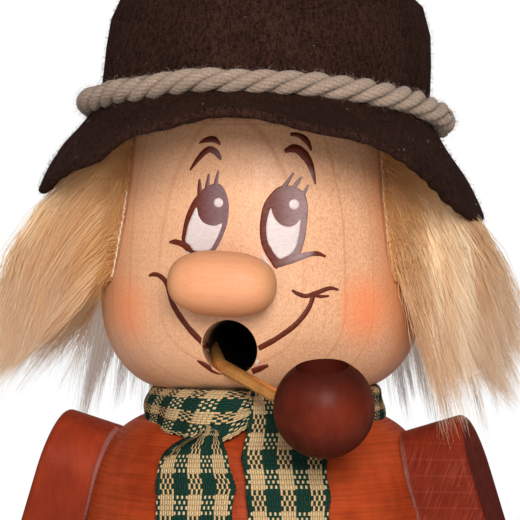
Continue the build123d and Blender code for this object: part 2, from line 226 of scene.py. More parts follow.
class Finish(NodeMaker):
    def __init__(self, name, plain):
        self.material = bpy.data.materials.new(name)
        self.material.use_nodes = True
        super().__init__(self.material.node_tree)
        self.shader = self.tree.nodes["Principled BSDF"]
        for socket, value in plain.items():
            self.shader.inputs[socket].default_value = value

    def put(self, socket, value):
        self.feed(self.shader.inputs[socket], value)

    def place(self, stretch=(1, 1, 1)):  # object coordinates in millimetres, closer or wider along each axis
        where = self.add("ShaderNodeTexCoord", out="Object")
        return self.vector("MULTIPLY", where, [1000 * s for s in stretch])

    def axis(self, which):
        return self.add("ShaderNodeSeparateXYZ", None, {0: self.place()}, which)

    def noise(self, stretch=(1, 1, 1), detail=2.0, rough=0.5, where=None):
        vector = where or self.place(stretch)
        sockets = {"Vector": vector, "Scale": 1.0, "Detail": detail, "Roughness": rough}
        return self.add("ShaderNodeTexNoise", None, sockets)

    def far(self, point):  # distance in millimetres from a point of the object
        return self.vector("DISTANCE", self.place(), point, out=1)

    def towards(self, direction):  # millimetres along a direction
        return self.vector("DOT_PRODUCT", self.place(), direction, out=1)

    def attribute(self, name):
        return self.add("ShaderNodeAttribute", {"attribute_name": name}, None, "Fac")

    def mottled(self, factor, tones):  # from one tone to another
        return self.blend(factor, *[linear(*rgb) for rgb in tones])

    def bump(self, height, depth, strength=1.0):  # depth in millimetres
        sockets = {"Strength": strength, "Distance": depth * mm, "Height": height}
        self.put("Normal", self.add("ShaderNodeBump", None, sockets))


# Light: a large key from the right above the camera, a weaker fill, and a pale surround

studio = {
    "key": {"at": (0.42, -1.22, 0.7), "size": 0.6, "watts": 20.5},
    "fill": {"at": (-0.43, -1.12, 0.78), "size": 0.4, "watts": 2.6},
    "rim": {"at": (-0.2, 1.0, 1.1), "size": 1.0, "watts": 3.0},
    "aim": (0.0, 0.0, 0.17),
    "surround": 0.15,
    "floorRadius": 1.1,
    "floorTones": ((236, 235, 232), (242, 241, 239)),
    "floorGlow": 0.55,
}


def makeStudio():
    for name in ("key", "fill", "rim"):
        lamp = studio[name]
        data = bpy.data.lights.new(name + "Lamp", "AREA")
        data.energy = lamp["watts"]
        data.size = lamp["size"]
        light = bpy.data.objects.new(name + "Lamp", data)
        light.location = lamp["at"]
        aim = Vector(studio["aim"]) - Vector(lamp["at"])
        light.rotation_euler = aim.to_track_quat("-Z", "Y").to_euler()
        scene.collection.objects.link(light)
    world = bpy.data.worlds.new("paleSurround")
    world.use_nodes = True
    scene.world = world
    maker = NodeMaker(world.node_tree)
    path = maker.add("ShaderNodeLightPath", out="Is Camera Ray")
    seen = path.op("MAXIMUM", path.out("Is Glossy Ray") * 0.3).op("MAXIMUM", path.out("Is Transmission Ray"))
    background = world.node_tree.nodes["Background"]
    background.inputs["Color"].default_value = (1, 1, 1, 1)
    maker.feed(background.inputs["Strength"], maker.ramp(seen, 0.0, 1.0, studio["surround"], 1.0))
    floorMesh = bpy.data.meshes.new("paleFloor")
    grid = bmesh.new()
    bmesh.ops.create_circle(grid, cap_ends=True, segments=96, radius=studio["floorRadius"])
    grid.to_mesh(floorMesh)
    grid.free()
    floor = bpy.data.objects.new("paleFloor", floorMesh)
    scene.collection.objects.link(floor)
    finish = Finish("paleFloorFinish", {"Roughness": 0.85, "Specular IOR Level": 0.2})
    mottle = finish.noise((0.02, 0.02, 0.02), 3)
    finish.put("Base Color", finish.mottled(mottle, studio["floorTones"]))
    seen = finish.add("ShaderNodeLightPath", out="Is Camera Ray") * studio["floorGlow"]
    glow = finish.add("ShaderNodeEmission", None, {"Color": (1, 1, 1, 1), "Strength": 1.0})
    both = finish.add(
        "ShaderNodeMixShader", None, {0: seen, 1: Val(finish, finish.shader.outputs[0]), 2: glow}
    )
    finish.feed(finish.tree.nodes["Material Output"].inputs["Surface"], both)
    floorMesh.materials.append(finish.material)


makeStudio()
print("studio lit")


# Carrying surfaces, for what is painted on, glued to or laid over the turned wood


def surfaceOf(piece):
    mesh = piece.data
    points = [v.co / mm for v in mesh.vertices]
    return BVHTree.FromPolygons(points, [tuple(p.vertices) for p in mesh.polygons])


headSurface = surfaceOf(nodes["head"])


def outwards(point):  # level, away from the axis
    return Vector((point.x, point.y, 0)).normalized()


def acrossAt(x):  # millimetres across the view from the axis to a pixel
    return (x - photoView["axisAt"][0]) * photoView["pixel"]


def onHead(x, y):  # point and normal on the head under a pixel
    start, direction = pixelRay(x, y)
    point = headSurface.ray_cast(start, direction)[0]
    if point is None:
        point = headSurface.find_nearest(start + direction * photoView["distance"])[0]
    upward = smooth(point.z - headZ, 60, 77) - 0.001  # the head rounds over towards its top
    return point, (outwards(point) + Vector((0, 0, upward))).normalized()


def newPiece(name, points, faces, material, body="upper"):  # points in millimetres
    mesh = bpy.data.meshes.new(name)
    mesh.from_pydata([tuple(Vector(p) * mm) for p in points], [], faces)
    shell = bmesh.new()
    shell.from_mesh(mesh)
    bmesh.ops.recalc_face_normals(shell, faces=shell.faces)
    shell.to_mesh(mesh)
    shell.free()
    mesh.polygons.foreach_set("use_smooth", [True] * len(mesh.polygons))
    mesh.materials.append(material)
    piece = bpy.data.objects.new(name, mesh)
    scene.collection.objects.link(piece)
    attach(piece, body)
    return piece


def tubeFaces(faces, first, rows, size):  # rows of points round a tube, with both ends closed
    for row in range(rows - 1):
        for i in range(size):
            a = first + row * size + i
            b = first + row * size + (i + 1) % size
            faces.append((a, b, b + size, a + size))
    faces.append(tuple(first + i for i in range(size)))
    faces.append(tuple(first + (rows - 1) * size + i for i in range(size)))


def sheetFaces(faces, first, rows, size):  # a grid of points and a second one under it, closed all round
    under = rows * size

    def wall(a, b):
        faces.append((a, b, b + under, a + under))

    for i in range(rows):
        for j in range(size):
            a = first + i * size + j
            if i < rows - 1 and j < size - 1:
                faces.append((a, a + 1, a + size + 1, a + size))
                faces.append((a + under, a + size + under, a + size + 1 + under, a + 1 + under))
            if i < rows - 1 and j in (0, size - 1):
                wall(a, a + size)
            if j < size - 1 and i in (0, rows - 1):
                wall(a, a + 1)


# Finishes of the turned and sawn pieces

mouthHole = {"height": 10.6, "radius": 6.0, "flue": 9.0}  # painted shade inside, darker deeper in, like the upright hole it opens into
blushes = {
    "places": ((127, 310, 9.0, 0.46), (367, 310, 9.5, 0.62)),  # pixel, radius in millimetres, strength
    "maskedAt": 338,
}
seams = {  # edges of the hair's strip: angle from the face, height there, and bend
    "left": (61.0, 43.0, 0.013),
    "right": (-45.3, 48.0, -0.0173),
}
growthRing = {  # sawn flat, so a ring shows where the depth is the same
    "through": (160, 312), "spacing": 5.6, "wander": 1.2, "amount": 0.5,
}
capMark = {"height": 58.2, "amount": 0.4}  # a line turned under the hat
faceTones = {
    "wood": (231, 176, 136), "cloud": (216, 160, 120), "streak": (203, 150, 113), "pores": (188, 130, 92),
    "ring": (186, 118, 72), "turning": (190, 130, 92), "mouthShade": (26, 15, 9), "flue": (12, 7, 4),
    "mark": (168, 106, 72), "blush": (240, 122, 66), "hairShadowAndGlue": (184, 102, 48), "seamShade": (140, 76, 36),
}
acrossView = tuple(viewAxes()[0])


def seamAngle(edge, height):  # works on numbers and on sockets
    angle, middle, bend = seams[edge]
    off = height - middle
    return off * off * bend + angle


def paleWood(name, blushedAndShaded=False):
    finish = Finish(name, {"Specular IOR Level": 0.35, "Coat Roughness": 0.35})
    cloud = finish.noise((0.05, 0.05, 0.02), 3)
    tone = palette(faceTones)
    color = finish.blend(cloud, tone["wood"], tone["cloud"])
    streak = finish.ramp(finish.noise((1.1, 1.1, 0.035), 3, 0.6), 0.35, 0.75)
    color = finish.blend(streak * 0.25, color, tone["streak"])
    pores = finish.ramp(finish.noise((3.3, 3.3, 1.7), 2, 0.65), 0.42, 0.64)
    sideways = finish.towards(acrossView)
    color = finish.blend(pores * finish.ramp(sideways, -5.0, 25.0, 0.5, 0.78), color, tone["pores"])
    wander = (finish.noise((0.07, 0.07, 0.03), 2) - 0.5) * growthRing["wander"]
    depth = finish.axis(1) - onHead(*growthRing["through"])[0].y + wander
    away = ((depth / growthRing["spacing"] + 0.5).op("FRACT") - 0.5).op("ABSOLUTE")
    ring = finish.ramp(away, 0.0, 0.06, 1.0, 0.0) * finish.ramp(cloud, 0.35, 0.6, 0.5, 1.0)
    color = finish.blend(ring * growthRing["amount"], color, tone["ring"])
    rings = finish.ramp(finish.noise((0.02, 0.02, 1.3), 2, 0.6), 0.5, 0.8)
    color = finish.blend(rings * 0.16, color, tone["turning"])
    if blushedAndShaded:
        # Painted shade in the mouth hole, darker deeper in, and near black in the upright hole behind it
        off = finish.vector("SUBTRACT", finish.place(), (0, 0, headZ + mouthHole["height"]))
        off = finish.vector("LENGTH", finish.vector("MULTIPLY", off, (1, 0, 1)), out=1)
        inside = finish.ramp(off, mouthHole["radius"] + 0.02, mouthHole["radius"] + 0.05, 1.0, 0.0)
        deep = finish.ramp(finish.axis(1), -33.5, -25.0, 0.25, 1.0)
        color = finish.blend(inside * deep, color, tone["mouthShade"])
        radius = finish.vector("LENGTH", finish.vector("MULTIPLY", finish.place(), (1, 1, 0)), out=1)
        flue = finish.ramp(radius, mouthHole["flue"], mouthHole["flue"] + 0.4, 1.0, 0.0)
        color = finish.blend(flue, color, tone["flue"])
        line = finish.axis(2) - (headZ + capMark["height"])
        mark = finish.ramp(line.op("ABSOLUTE"), 0.05, 0.28, 1.0, 0.0)
        color = finish.blend(mark * capMark["amount"], color, tone["mark"])
        edge = acrossAt(blushes["maskedAt"])
        masked = finish.ramp(sideways, edge - 0.3, edge + 0.3, 0.3, 1.0)
        for x, y, radius, strength in blushes["places"]:
            point = onHead(x, y)[0]
            soft = finish.ramp(finish.far(point), radius * 0.1, radius * 1.25, strength, 0.0)
            color = finish.blend(soft * masked if acrossAt(x) > 0 else soft, color, tone["blush"])
        turn = finish.axis(0).op("ARCTAN2", finish.axis(1) * -1) * math.degrees(1)
        # Painted shadow of the hair, with glue stain, as a warm band beside each seam; then a painted shade
        # line along the seam
        for edge, side, amount in (("left", 1, 0.62), ("right", -1, 0.24)):
            apart = (seamAngle(edge, finish.axis(2) - headZ) - turn) * side
            shadowAndGlue = finish.ramp(apart, -2.0, 14.0, amount, 0.0) * finish.ramp(apart, -26.0, -14.0)
            color = finish.blend(shadowAndGlue, color, tone["hairShadowAndGlue"])
            shade = finish.ramp((apart - 1.0).op("ABSOLUTE"), 0.1, 1.0, 0.55, 0.0)
            shade = shade * finish.ramp(finish.axis(2), headZ + 23.0, headZ + 28.0)
            color = finish.blend(shade, color, tone["seamShade"])
    finish.put("Base Color", color)
    finish.put("Roughness", finish.ramp(finish.noise((0.4, 0.4, 0.2), 2), 0.3, 0.7, 0.42, 0.56))
    finish.bump(pores * -0.6 + rings * -0.25 + streak * -0.2, 0.05, 0.6)
    finish.put("Coat Weight", finish.ramp(cloud, 0.3, 0.7, 0.04, 0.1))
    return finish.material


noseTones = {
    "wood": (220, 152, 110), "grain": (208, 136, 94), "fine": (190, 112, 70), "ends": (190, 138, 88),
    "under": (172, 102, 58),
}


def noseWood():
    finish = Finish("noseWood", {"Specular IOR Level": 0.22, "Coat Roughness": 0.4})
    tone = palette(noseTones)
    grain = finish.ramp(finish.noise((0.05, 1.0, 1.0), 3, 0.65), 0.3, 0.75)
    fine = finish.ramp(finish.noise((0.22, 3.2, 3.2), 2, 0.6), 0.45, 0.75)
    color = finish.blend(grain * 0.4, tone["wood"], tone["grain"])
    color = finish.blend(fine * 0.25, color, tone["fine"])
    ends = finish.ramp(finish.axis(0).op("ABSOLUTE"), 7.0, 12.2)
    color = finish.blend(ends * 0.5, color, tone["ends"])
    # Painted shade: the nose is darker towards its underside
    low = finish.ramp(finish.axis(2), headZ + 13.0, headZ + 24.0, 1.0, 0.0)
    color = finish.blend(low, color, tone["under"])
    finish.put("Base Color", color)
    finish.put("Roughness", finish.ramp(fine, 0.0, 1.0, 0.52, 0.62))
    finish.put("Coat Weight", finish.ramp(grain, 0.0, 1.0, 0.06, 0.02))
    finish.bump(fine * -0.5 + grain * -0.2, 0.04, 0.6)
    return finish.material


def outerSideFace(name, side):  # normal and place of a piece's largest flat face towards one side, in millimetres
    mesh = nodes[name].data
    areas = {}
    for face in mesh.polygons:
        if face.normal.x * side > 0.3:
            key = tuple(round(c, 2) for c in face.normal)
            areas[key] = areas.get(key, 0.0) + face.area
    normal = Vector(max(areas, key=areas.get)).normalized()
    return tuple(normal), max(normal.dot(v.co) for v in mesh.vertices) / mm


stains = {  # light and dark tone, scale of the fine lines, least roughness, strength of the lines, wax
    "torsoWood": ((180, 72, 34), (142, 48, 18), (0.05, 0.05, 2.6), 0.36, 0.65, 0.03),
    "rightArmWood": ((148, 54, 29), (118, 40, 21), (0.9, 0.5, 0.22), 0.4, 0.35, 0.02),
    "leftArmWood": ((130, 44, 24), (104, 32, 18), (0.9, 0.5, 0.22), 0.4, 0.25, 0.02),
    "pipeWood": ((106, 36, 17), (58, 17, 8), (0.35, 0.35, 0.16), 0.5, 0.4, 0.08),
    "trouserWood": ((70, 62, 48), (44, 38, 30), (0.05, 0.05, 1.4), 0.34, 0.5, 0.08),
    "shoeWood": ((48, 32, 24), (26, 18, 14), (0.4, 0.1, 0.4), 0.22, 0.4, 0.3),
    "beechWood": ((226, 190, 146), (204, 160, 112), (0.06, 1.1, 1.1), 0.4, 0.35, 0.08),
}
armMarks = {  # scratches, by their lean, closeness and length, and lines at the pitch of the saw; then the tone of painted shade on the outer side face
    "across": (0.93, 0.2, -0.36), "along": (0.36, 0.0, 0.93), "close": 3.6, "long": 0.16,
    "pitch": 3.45, "shift": 0.88, "tone": (206, 108, 76), "sideShadeTone": (74, 18, 8),
}


def stainedWood(name, hollow=None, shadedFace=None, scored=0.0):
    # Stained and waxed wood: soft blotches of stain, fine lines along the tool or the saw, specks of dust
    light, dark, grain, gloss, lines, wax = stains[name]
    finish = Finish(name, {"Specular IOR Level": 0.05, "Coat Roughness": 0.34})
    blotch = finish.ramp(finish.noise((0.07, 0.07, 0.05), 4, 0.6), 0.3, 0.72)
    color = finish.blend(blotch, linear(*light), linear(*dark))
    fine = finish.ramp(finish.noise(grain, 3, 0.65), 0.36, 0.74)
    color = finish.blend(fine * lines, color, finish.blend(0.55, color, linear(*[c * 0.45 for c in dark])))
    dust = finish.ramp(finish.noise((1.9, 1.9, 1.9), 1, 0.4), 0.78, 0.81)
    color = finish.blend(dust * 0.25, color, linear(226, 190, 170))
    if hollow:
        radius = hollow["radius"]
        inside = finish.ramp(finish.far(hollow["middle"]), radius - 0.35, radius - 0.1, 1.0, 0.0)
        # Painted shade darkens the ball's top and its underside; painted light lifts the shade inside the
        # bore
        rise = finish.axis(2) - hollow["middle"][2]
        color = finish.blend(finish.ramp(rise, -2.0, 8.5, 0.0, 0.85), color, linear(*hollow["top"]))
        color = finish.blend(finish.ramp(rise, -10.5, -2.0, 0.6, 0.0), color, linear(*hollow["under"]))
        color = finish.blend(inside * 0.35, color, linear(*hollow["bore"]))
    rough = finish.ramp(fine, 0.0, 1.0, gloss, gloss + 0.16)
    if shadedFace:
        if scored:
            lean = finish.towards(armMarks["across"]) * armMarks["close"]
            length = finish.towards(armMarks["along"]) * armMarks["long"]
            where = finish.add("ShaderNodeCombineXYZ", None, {0: lean, 1: length})
            scratch = finish.noise(where=where, detail=2.0)
            saw = ((finish.axis(2) / armMarks["pitch"] + armMarks["shift"]).op("FRACT") - 0.5).op("ABSOLUTE")
            marks = finish.ramp(scratch, 0.5, 0.74) + finish.ramp(saw, 0.0, 0.1, 0.45, 0.0) * blotch
            color = finish.blend(marks * scored, color, linear(*armMarks["tone"]))
        # Painted shade: the arm's outer side face is darkened, and made rougher
        beyond = finish.towards(shadedFace[0]) - shadedFace[1]
        side = finish.ramp(beyond, -0.35, -0.08)
        color = finish.blend(side * 0.8, color, linear(*armMarks["sideShadeTone"]))
        rough = rough + side * 0.4
    finish.put("Base Color", color)
    finish.put("Roughness", rough)
    finish.put("Coat Weight", finish.ramp(blotch, 0.0, 1.0, wax, wax * 0.5))
    finish.bump(fine * -0.6 + blotch * -0.2, 0.05, 0.5)
    return finish.material


metals = {  # bright and dull tone, least roughness, how bare the metal is
    "brassMetal": ((230, 158, 86), (190, 124, 60), 0.2, 0.7),
    "screwSteel": ((188, 188, 186), (140, 140, 138), 0.3, 1.0),
}


def metal(name):
    light, dark, rough, bare = metals[name]
    finish = Finish(name, {"Metallic": bare})
    tarnish = finish.ramp(finish.noise((0.2, 0.2, 0.2), 3, 0.55), 0.4, 0.8)
    finish.put("Base Color", finish.blend(tarnish, linear(*light), linear(*dark)))
    scuffs = finish.noise((0.5, 0.5, 0.5), 3, 0.6)
    finish.put("Roughness", finish.ramp(scuffs, 0.3, 0.7, rough, rough + 0.12))
    return finish.material


pipeBowl = {  # a bored ball, with tones of painted shade for its top and underside and of painted light for its bore
    "middle": (22.5, -43.3, headZ - 1.3), "radius": 10.7,
    "top": (50, 15, 9), "under": (44, 13, 8), "bore": (92, 31, 20),
}


def dressWood():
    pegs = ("base_plate", "spigot_ring", "neck_tube", "arm_dowels", "hand_pins", "nose_pin")
    finishes = {
        paleWood("faceWood", True): ("head",),
        paleWood("handWood"): ("left_hand", "right_hand"),
        noseWood(): ("nose",),
        stainedWood("torsoWood"): ("torso",),
        stainedWood("rightArmWood", shadedFace=outerSideFace("right_arm", -1)): ("right_arm",),
        stainedWood("leftArmWood", shadedFace=outerSideFace("left_arm", 1), scored=0.22): ("left_arm",),
        stainedWood("pipeWood", pipeBowl): ("pipe_bowl",),
        stainedWood("trouserWood"): ("lower_body", "left_leg", "right_leg"),
        stainedWood("shoeWood"): ("left_shoe", "right_shoe"),
        stainedWood("beechWood"): pegs,
        metal("brassMetal"): ("pipe_stem", "incense_plate", "plate_tacks"),
        metal("screwSteel"): ("base_screws",),
    }
    for material, names in finishes.items():
        for name in names:
            mesh = nodes[name].data
            mesh.materials.clear()
            mesh.materials.append(material)


dressWood()
print("wood and metal dressed")


# Face paint: brush strokes and filled shapes laid on the head under the photograph's pixels

facePaint = {
    "step": 1.6,  # pixels between rows along a stroke
    "relief": 0.05,
    "sunk": 0.12,
    "widen": 1.06,
    "brown": ((104, 40, 22), (82, 29, 15)),
    "white": ((216, 199, 195), (204, 185, 181)),
    "fill": {"step": 1.9, "clear": 0.9, "rounding": 1.5},  # pixels between points, and from them to the rim
    "strokes": {  # pixel x, pixel y and width in pixels
        "smileLeft": (
            (149, 276, 2.5), (153, 274.4, 4.2), (158, 275, 4.6), (164, 279.4, 4.8), (168, 287, 4.6),
            (172.8, 304, 5), (184, 322, 5.6), (195, 335, 5.8), (207.5, 347.5, 5.6),
        ),
        "smileRight": (
            (258.5, 348.4, 5.4), (267, 344, 5.6), (278, 337.6, 5.6), (294.5, 325.6, 5.4), (305.5, 313, 5.2),
            (310.5, 304, 4.8), (313, 296, 4.6),
        ),
        "smileCorner": (
            (292, 290, 2.2), (297, 293.4, 4), (306, 296, 4.6), (317, 292.6, 4.6), (330, 288.2, 4.2),
            (338.5, 290, 2.2),
        ),
        "smileTuck": ((313, 295, 3), (321, 296.5, 3.5), (329, 296, 2)),
        "lipLeft": (
            (197.4, 360.6, 1.4), (201, 362.6, 3.6), (206, 365.6, 5.2), (213, 370, 5.6), (218, 372.4, 4.4),
            (223, 374, 2),
        ),
        "lipRight": ((252, 371.5, 6), (259, 369, 6), (264, 366.8, 4.6), (268.4, 365.6, 2.4)),
        "lashLeft1": ((199.6, 195, 5), (199.6, 186, 4), (199.6, 179, 1.8)),
        "lashLeft2": ((206.8, 190, 5), (207.6, 183, 4), (208.9, 174, 1.8)),
        "lashLeft3": ((215.6, 186, 5), (216.6, 179, 3.8), (218.5, 170.5, 1.6)),
        "tailLeft": (
            (169.3, 242.4, 2.2), (174.5, 241.8, 5.2), (182, 244, 5.8), (188, 248, 6.2), (194.5, 252.5, 5)
        ),
        "lashRight1": ((283.5, 188, 5), (287.5, 182, 4.2), (293.6, 172.8, 1.8)),
        "lashRight2": ((293, 189, 5), (296.6, 183.6, 4.4), (301.6, 177, 1.8)),
        "lashRight3": ((302, 196, 5), (305, 191, 3.8), (308.3, 184.8, 1.8)),
        "tailRight": (
            (279, 265, 5), (288, 261.6, 6), (296, 258.6, 6.5), (305, 255.4, 6.2), (314, 253.6, 5),
            (320, 254.2, 4.4), (325.8, 256.8, 2),
        ),
        "browLeft": (
            (190, 170.2, 1.6), (197, 160.5, 4.4), (204, 152.5, 5.8), (210, 149.2, 6.8), (215.5, 152, 6.2),
            (219, 156.5, 4.4), (221, 160, 2),
        ),
        "browLeftUp": (
            (199, 143.2, 1.4), (204.5, 140.6, 4.4), (210, 139.2, 6.8), (214.5, 139.7, 6.8), (218, 142.3, 4.4),
            (220.3, 144.8, 1.6),
        ),
        "browRight": (
            (284.4, 151.4, 3.6), (291, 148.8, 7.6), (297, 149, 9.2), (304, 154.5, 8.8), (309.5, 163, 7.2),
            (313, 174, 4.8), (315.4, 184.4, 1.6),
        ),
        "browRightUp": (
            (290.3, 134.2, 3.2), (298, 135, 4.8), (304.5, 138.8, 6.2), (308.5, 144, 4.8), (311.4, 150.6, 1.8)
        ),
    },
    "eyes": (
        (
            (202.5, 189.5), (210.5, 184.8), (218.5, 183.6), (224.3, 188.9), (228.3, 200.4), (228.9, 210.7),
            (227.2, 223.3), (224.3, 232.5), (219.7, 242.8), (215, 250.5), (208, 254.5), (199, 255),
            (190.5, 252), (184.6, 247.5), (181.8, 240.5), (182.4, 232.5), (184.7, 221), (188.1, 210.7),
            (193.3, 200.4), (197.9, 194.6),
        ),
        (
            (274.8, 189.5), (269.1, 195.8), (264.5, 202.7), (261.6, 211.8), (259.9, 223.3), (259.9, 234.8),
            (261.6, 245.1), (265.6, 254.3), (270.2, 261.2), (275.4, 268.7), (281.7, 265.4), (292, 260.6),
            (299.5, 255), (303.5, 244), (305.8, 234.8), (306.9, 223.3), (308.1, 211.8), (307.5, 202.7),
            (305.2, 194.6), (301.2, 190), (292, 186), (281.7, 185.8),
        ),
    ),
    "whites": (
        (
            (196.5, 207.5), (192.1, 215.3), (188.1, 225.6), (186.2, 234.8), (185.4, 241.4), (189.6, 245.2),
            (194, 250.6), (202, 251.6), (209.6, 250), (214, 244), (218.5, 234.8), (222, 223.9),
            (215.1, 225.7), (208.2, 224.8), (202.5, 221.6), (198.5, 215.3),
        ),
        (
            (270.8, 208.2), (267.9, 216.4), (266.2, 226.8), (266.8, 237.1), (268.5, 244), (271, 248),
            (274, 253.2), (279.4, 258.6), (286.3, 256.4), (292, 252.8), (296.6, 245.1), (298.9, 234.8),
            (300, 226.8), (300.4, 219.6), (295.5, 224.5), (288.6, 226.8), (281.7, 225), (275.9, 219.9),
            (272.5, 213),
        ),
    ),
    # Painted sheen, a pale reflection of the light on the glossy paint: the pixels where it starts, is full
    # and ends, and of its middle
    # Then its half height in millimetres, its tone and its amount
    "paintedSheens": (
        (193, 222, 231, 216, 11.0, (126, 100, 104), 0.85),
        (268, 300, 306, 224, 12.5, (152, 126, 124), 0.9),
        (207, 219, 226, 155, 3.5, (122, 92, 92), 0.6),
    ),
    "dots": ((218.5, 202.7, 4.7), (294.1, 204.4, 5.1)),
    "spills": (
        ((186, 248), (190, 251.5), (195, 254), (190, 254.5), (185.5, 251)),
        ((262, 252), (266, 259), (271, 266.5), (266.5, 265), (262, 258)),
    ),
}


def strokeMesh(points, faces, line):
    # A brush stroke: rows of five points, its middle raised and its edges below the surface
    across = ((-1.0, -1.0), (-0.92, 0.9), (0.0, 1.0), (0.92, 0.9), (1.0, -1.0))
    first = len(points)
    rows = along(line, facePaint["step"])
    for i, (x, y, width) in enumerate(rows):
        before, after = rows[max(i - 1, 0)], rows[min(i + 1, len(rows) - 1)]
        run = Vector((after[0] - before[0], after[1] - before[1])).normalized()
        wobble = 1 + 0.12 * noise.noise(Vector((x * 0.21, y * 0.21, 0.3)))
        for side, height in across:
            reach = side * width * wobble * facePaint["widen"] / 2
            spot, normal = onHead(x - run.y * reach, y + run.x * reach)
            lift = facePaint["relief"] * height if height > 0 else -facePaint["sunk"]
            points.append(spot + normal * lift)
    tubeFaces(faces, first, len(rows), len(across))


def patchMesh(points, faces, outline, relief):
    # A filled shape: a rounded rim, a fine grid of points inside, and a back under the wood
    rim = [Vector(p[:2]) for p in along(outline, 1.0, True)]
    low = [min(p[i] for p in rim) for i in (0, 1)]
    high = [max(p[i] for p in rim) for i in (0, 1)]
    inner = []
    fill = facePaint["fill"]
    step = fill["step"]
    for i in range(int((high[0] - low[0]) / step) + 1):
        for j in range(int((high[1] - low[1]) / step) + 1):
            inner.append(Vector((low[0] + i * step + 0.5 * (j % 2), low[1] + j * step)))
    clear = [p for p in inner if min((p - q).length for q in rim) > fill["clear"]]
    edge = [(i, (i + 1) % len(rim)) for i in range(len(rim))]
    laid = delaunay_2d_cdt(rim + clear, edge, [], 1, 1e-4)
    flat, cells = laid[0], laid[2]
    first = len(points)
    for p in flat:
        gap = min((p - q).length for q in rim)
        spot, normal = onHead(p.x, p.y)
        points.append(spot + normal * relief * (0.7 + 0.3 * smooth(gap, 0.0, fill["rounding"])))
    back = len(points)
    for p in flat:
        spot, normal = onHead(p.x, p.y)
        points.append(spot - normal * facePaint["sunk"] * 1.6)
    for cell in cells:
        faces.append(tuple(first + i for i in cell))
        faces.append(tuple(back + i for i in reversed(cell)))
    count = len(rim)
    for i in range(count):
        j = (i + 1) % count
        faces.append((first + i, first + j, back + j, back + i))


def gloss(name, light, dark, paintedSheens=()):
    finish = Finish(name, {"Specular IOR Level": 0.15, "Coat Roughness": 0.3})
    brushed = finish.ramp(finish.noise((0.7, 0.7, 4.0), 3, 0.6), 0.3, 0.7)
    color = finish.blend(brushed, linear(*light), linear(*dark))
    sideways = finish.towards(acrossView)
    sheenBreakup = finish.ramp(finish.noise((0.9, 0.9, 2.2), 3, 0.6), 0.2, 0.7, 0.65, 1.0)
    # Painted sheen: a pale reflection of the light on parts of the glossy paint
    for start, full, end, middle, half, tone, amount in paintedSheens:
        start, full, end = [acrossAt(x) for x in (start, full, end)]
        height = onHead(photoView["axisAt"][0], middle)[0].z
        mask = finish.ramp(sideways, start, full) * finish.ramp(sideways, end, end + 2.0, 1.0, 0.0)
        mask = mask * finish.ramp((finish.axis(2) - height).op("ABSOLUTE"), half - 2.0, half, 1.0, 0.0)
        color = finish.blend(mask * sheenBreakup * amount, color, linear(*tone))
    finish.put("Base Color", color)
    finish.put("Roughness", finish.ramp(brushed, 0.0, 1.0, 0.42, 0.55))
    finish.put("Coat Weight", finish.ramp(brushed, 0.0, 1.0, 0.1, 0.04))
    finish.bump(brushed, 0.03, 0.5)
    return finish.material


def circle(x, y, radius):
    turns = [math.radians(30 * i) for i in range(12)]
    return [(x + radius * math.cos(turn), y + radius * math.sin(turn)) for turn in turns]


def makeFacePaint():
    points, faces = [], []
    for line in facePaint["strokes"].values():
        strokeMesh(points, faces, line)
    for outline in facePaint["eyes"]:
        patchMesh(points, faces, outline, facePaint["relief"])
    brown = gloss("brownPaint", *facePaint["brown"], facePaint["paintedSheens"])
    newPiece("brownFacePaint", points, faces, brown)
    points, faces = [], []
    for outline in facePaint["whites"]:
        patchMesh(points, faces, outline, facePaint["relief"] * 2)
    for outline in facePaint["spills"]:
        patchMesh(points, faces, outline, facePaint["relief"] * 0.6)
    for x, y, radius in facePaint["dots"]:
        patchMesh(points, faces, circle(x, y, radius), facePaint["relief"] * 2.6)
    newPiece("whiteFacePaint", points, faces, gloss("whitePaint", *facePaint["white"]))


makeFacePaint()
print("face painted")


# Geometry Nodes: a tree with named inputs, grown on a base piece and kept as a plain mesh


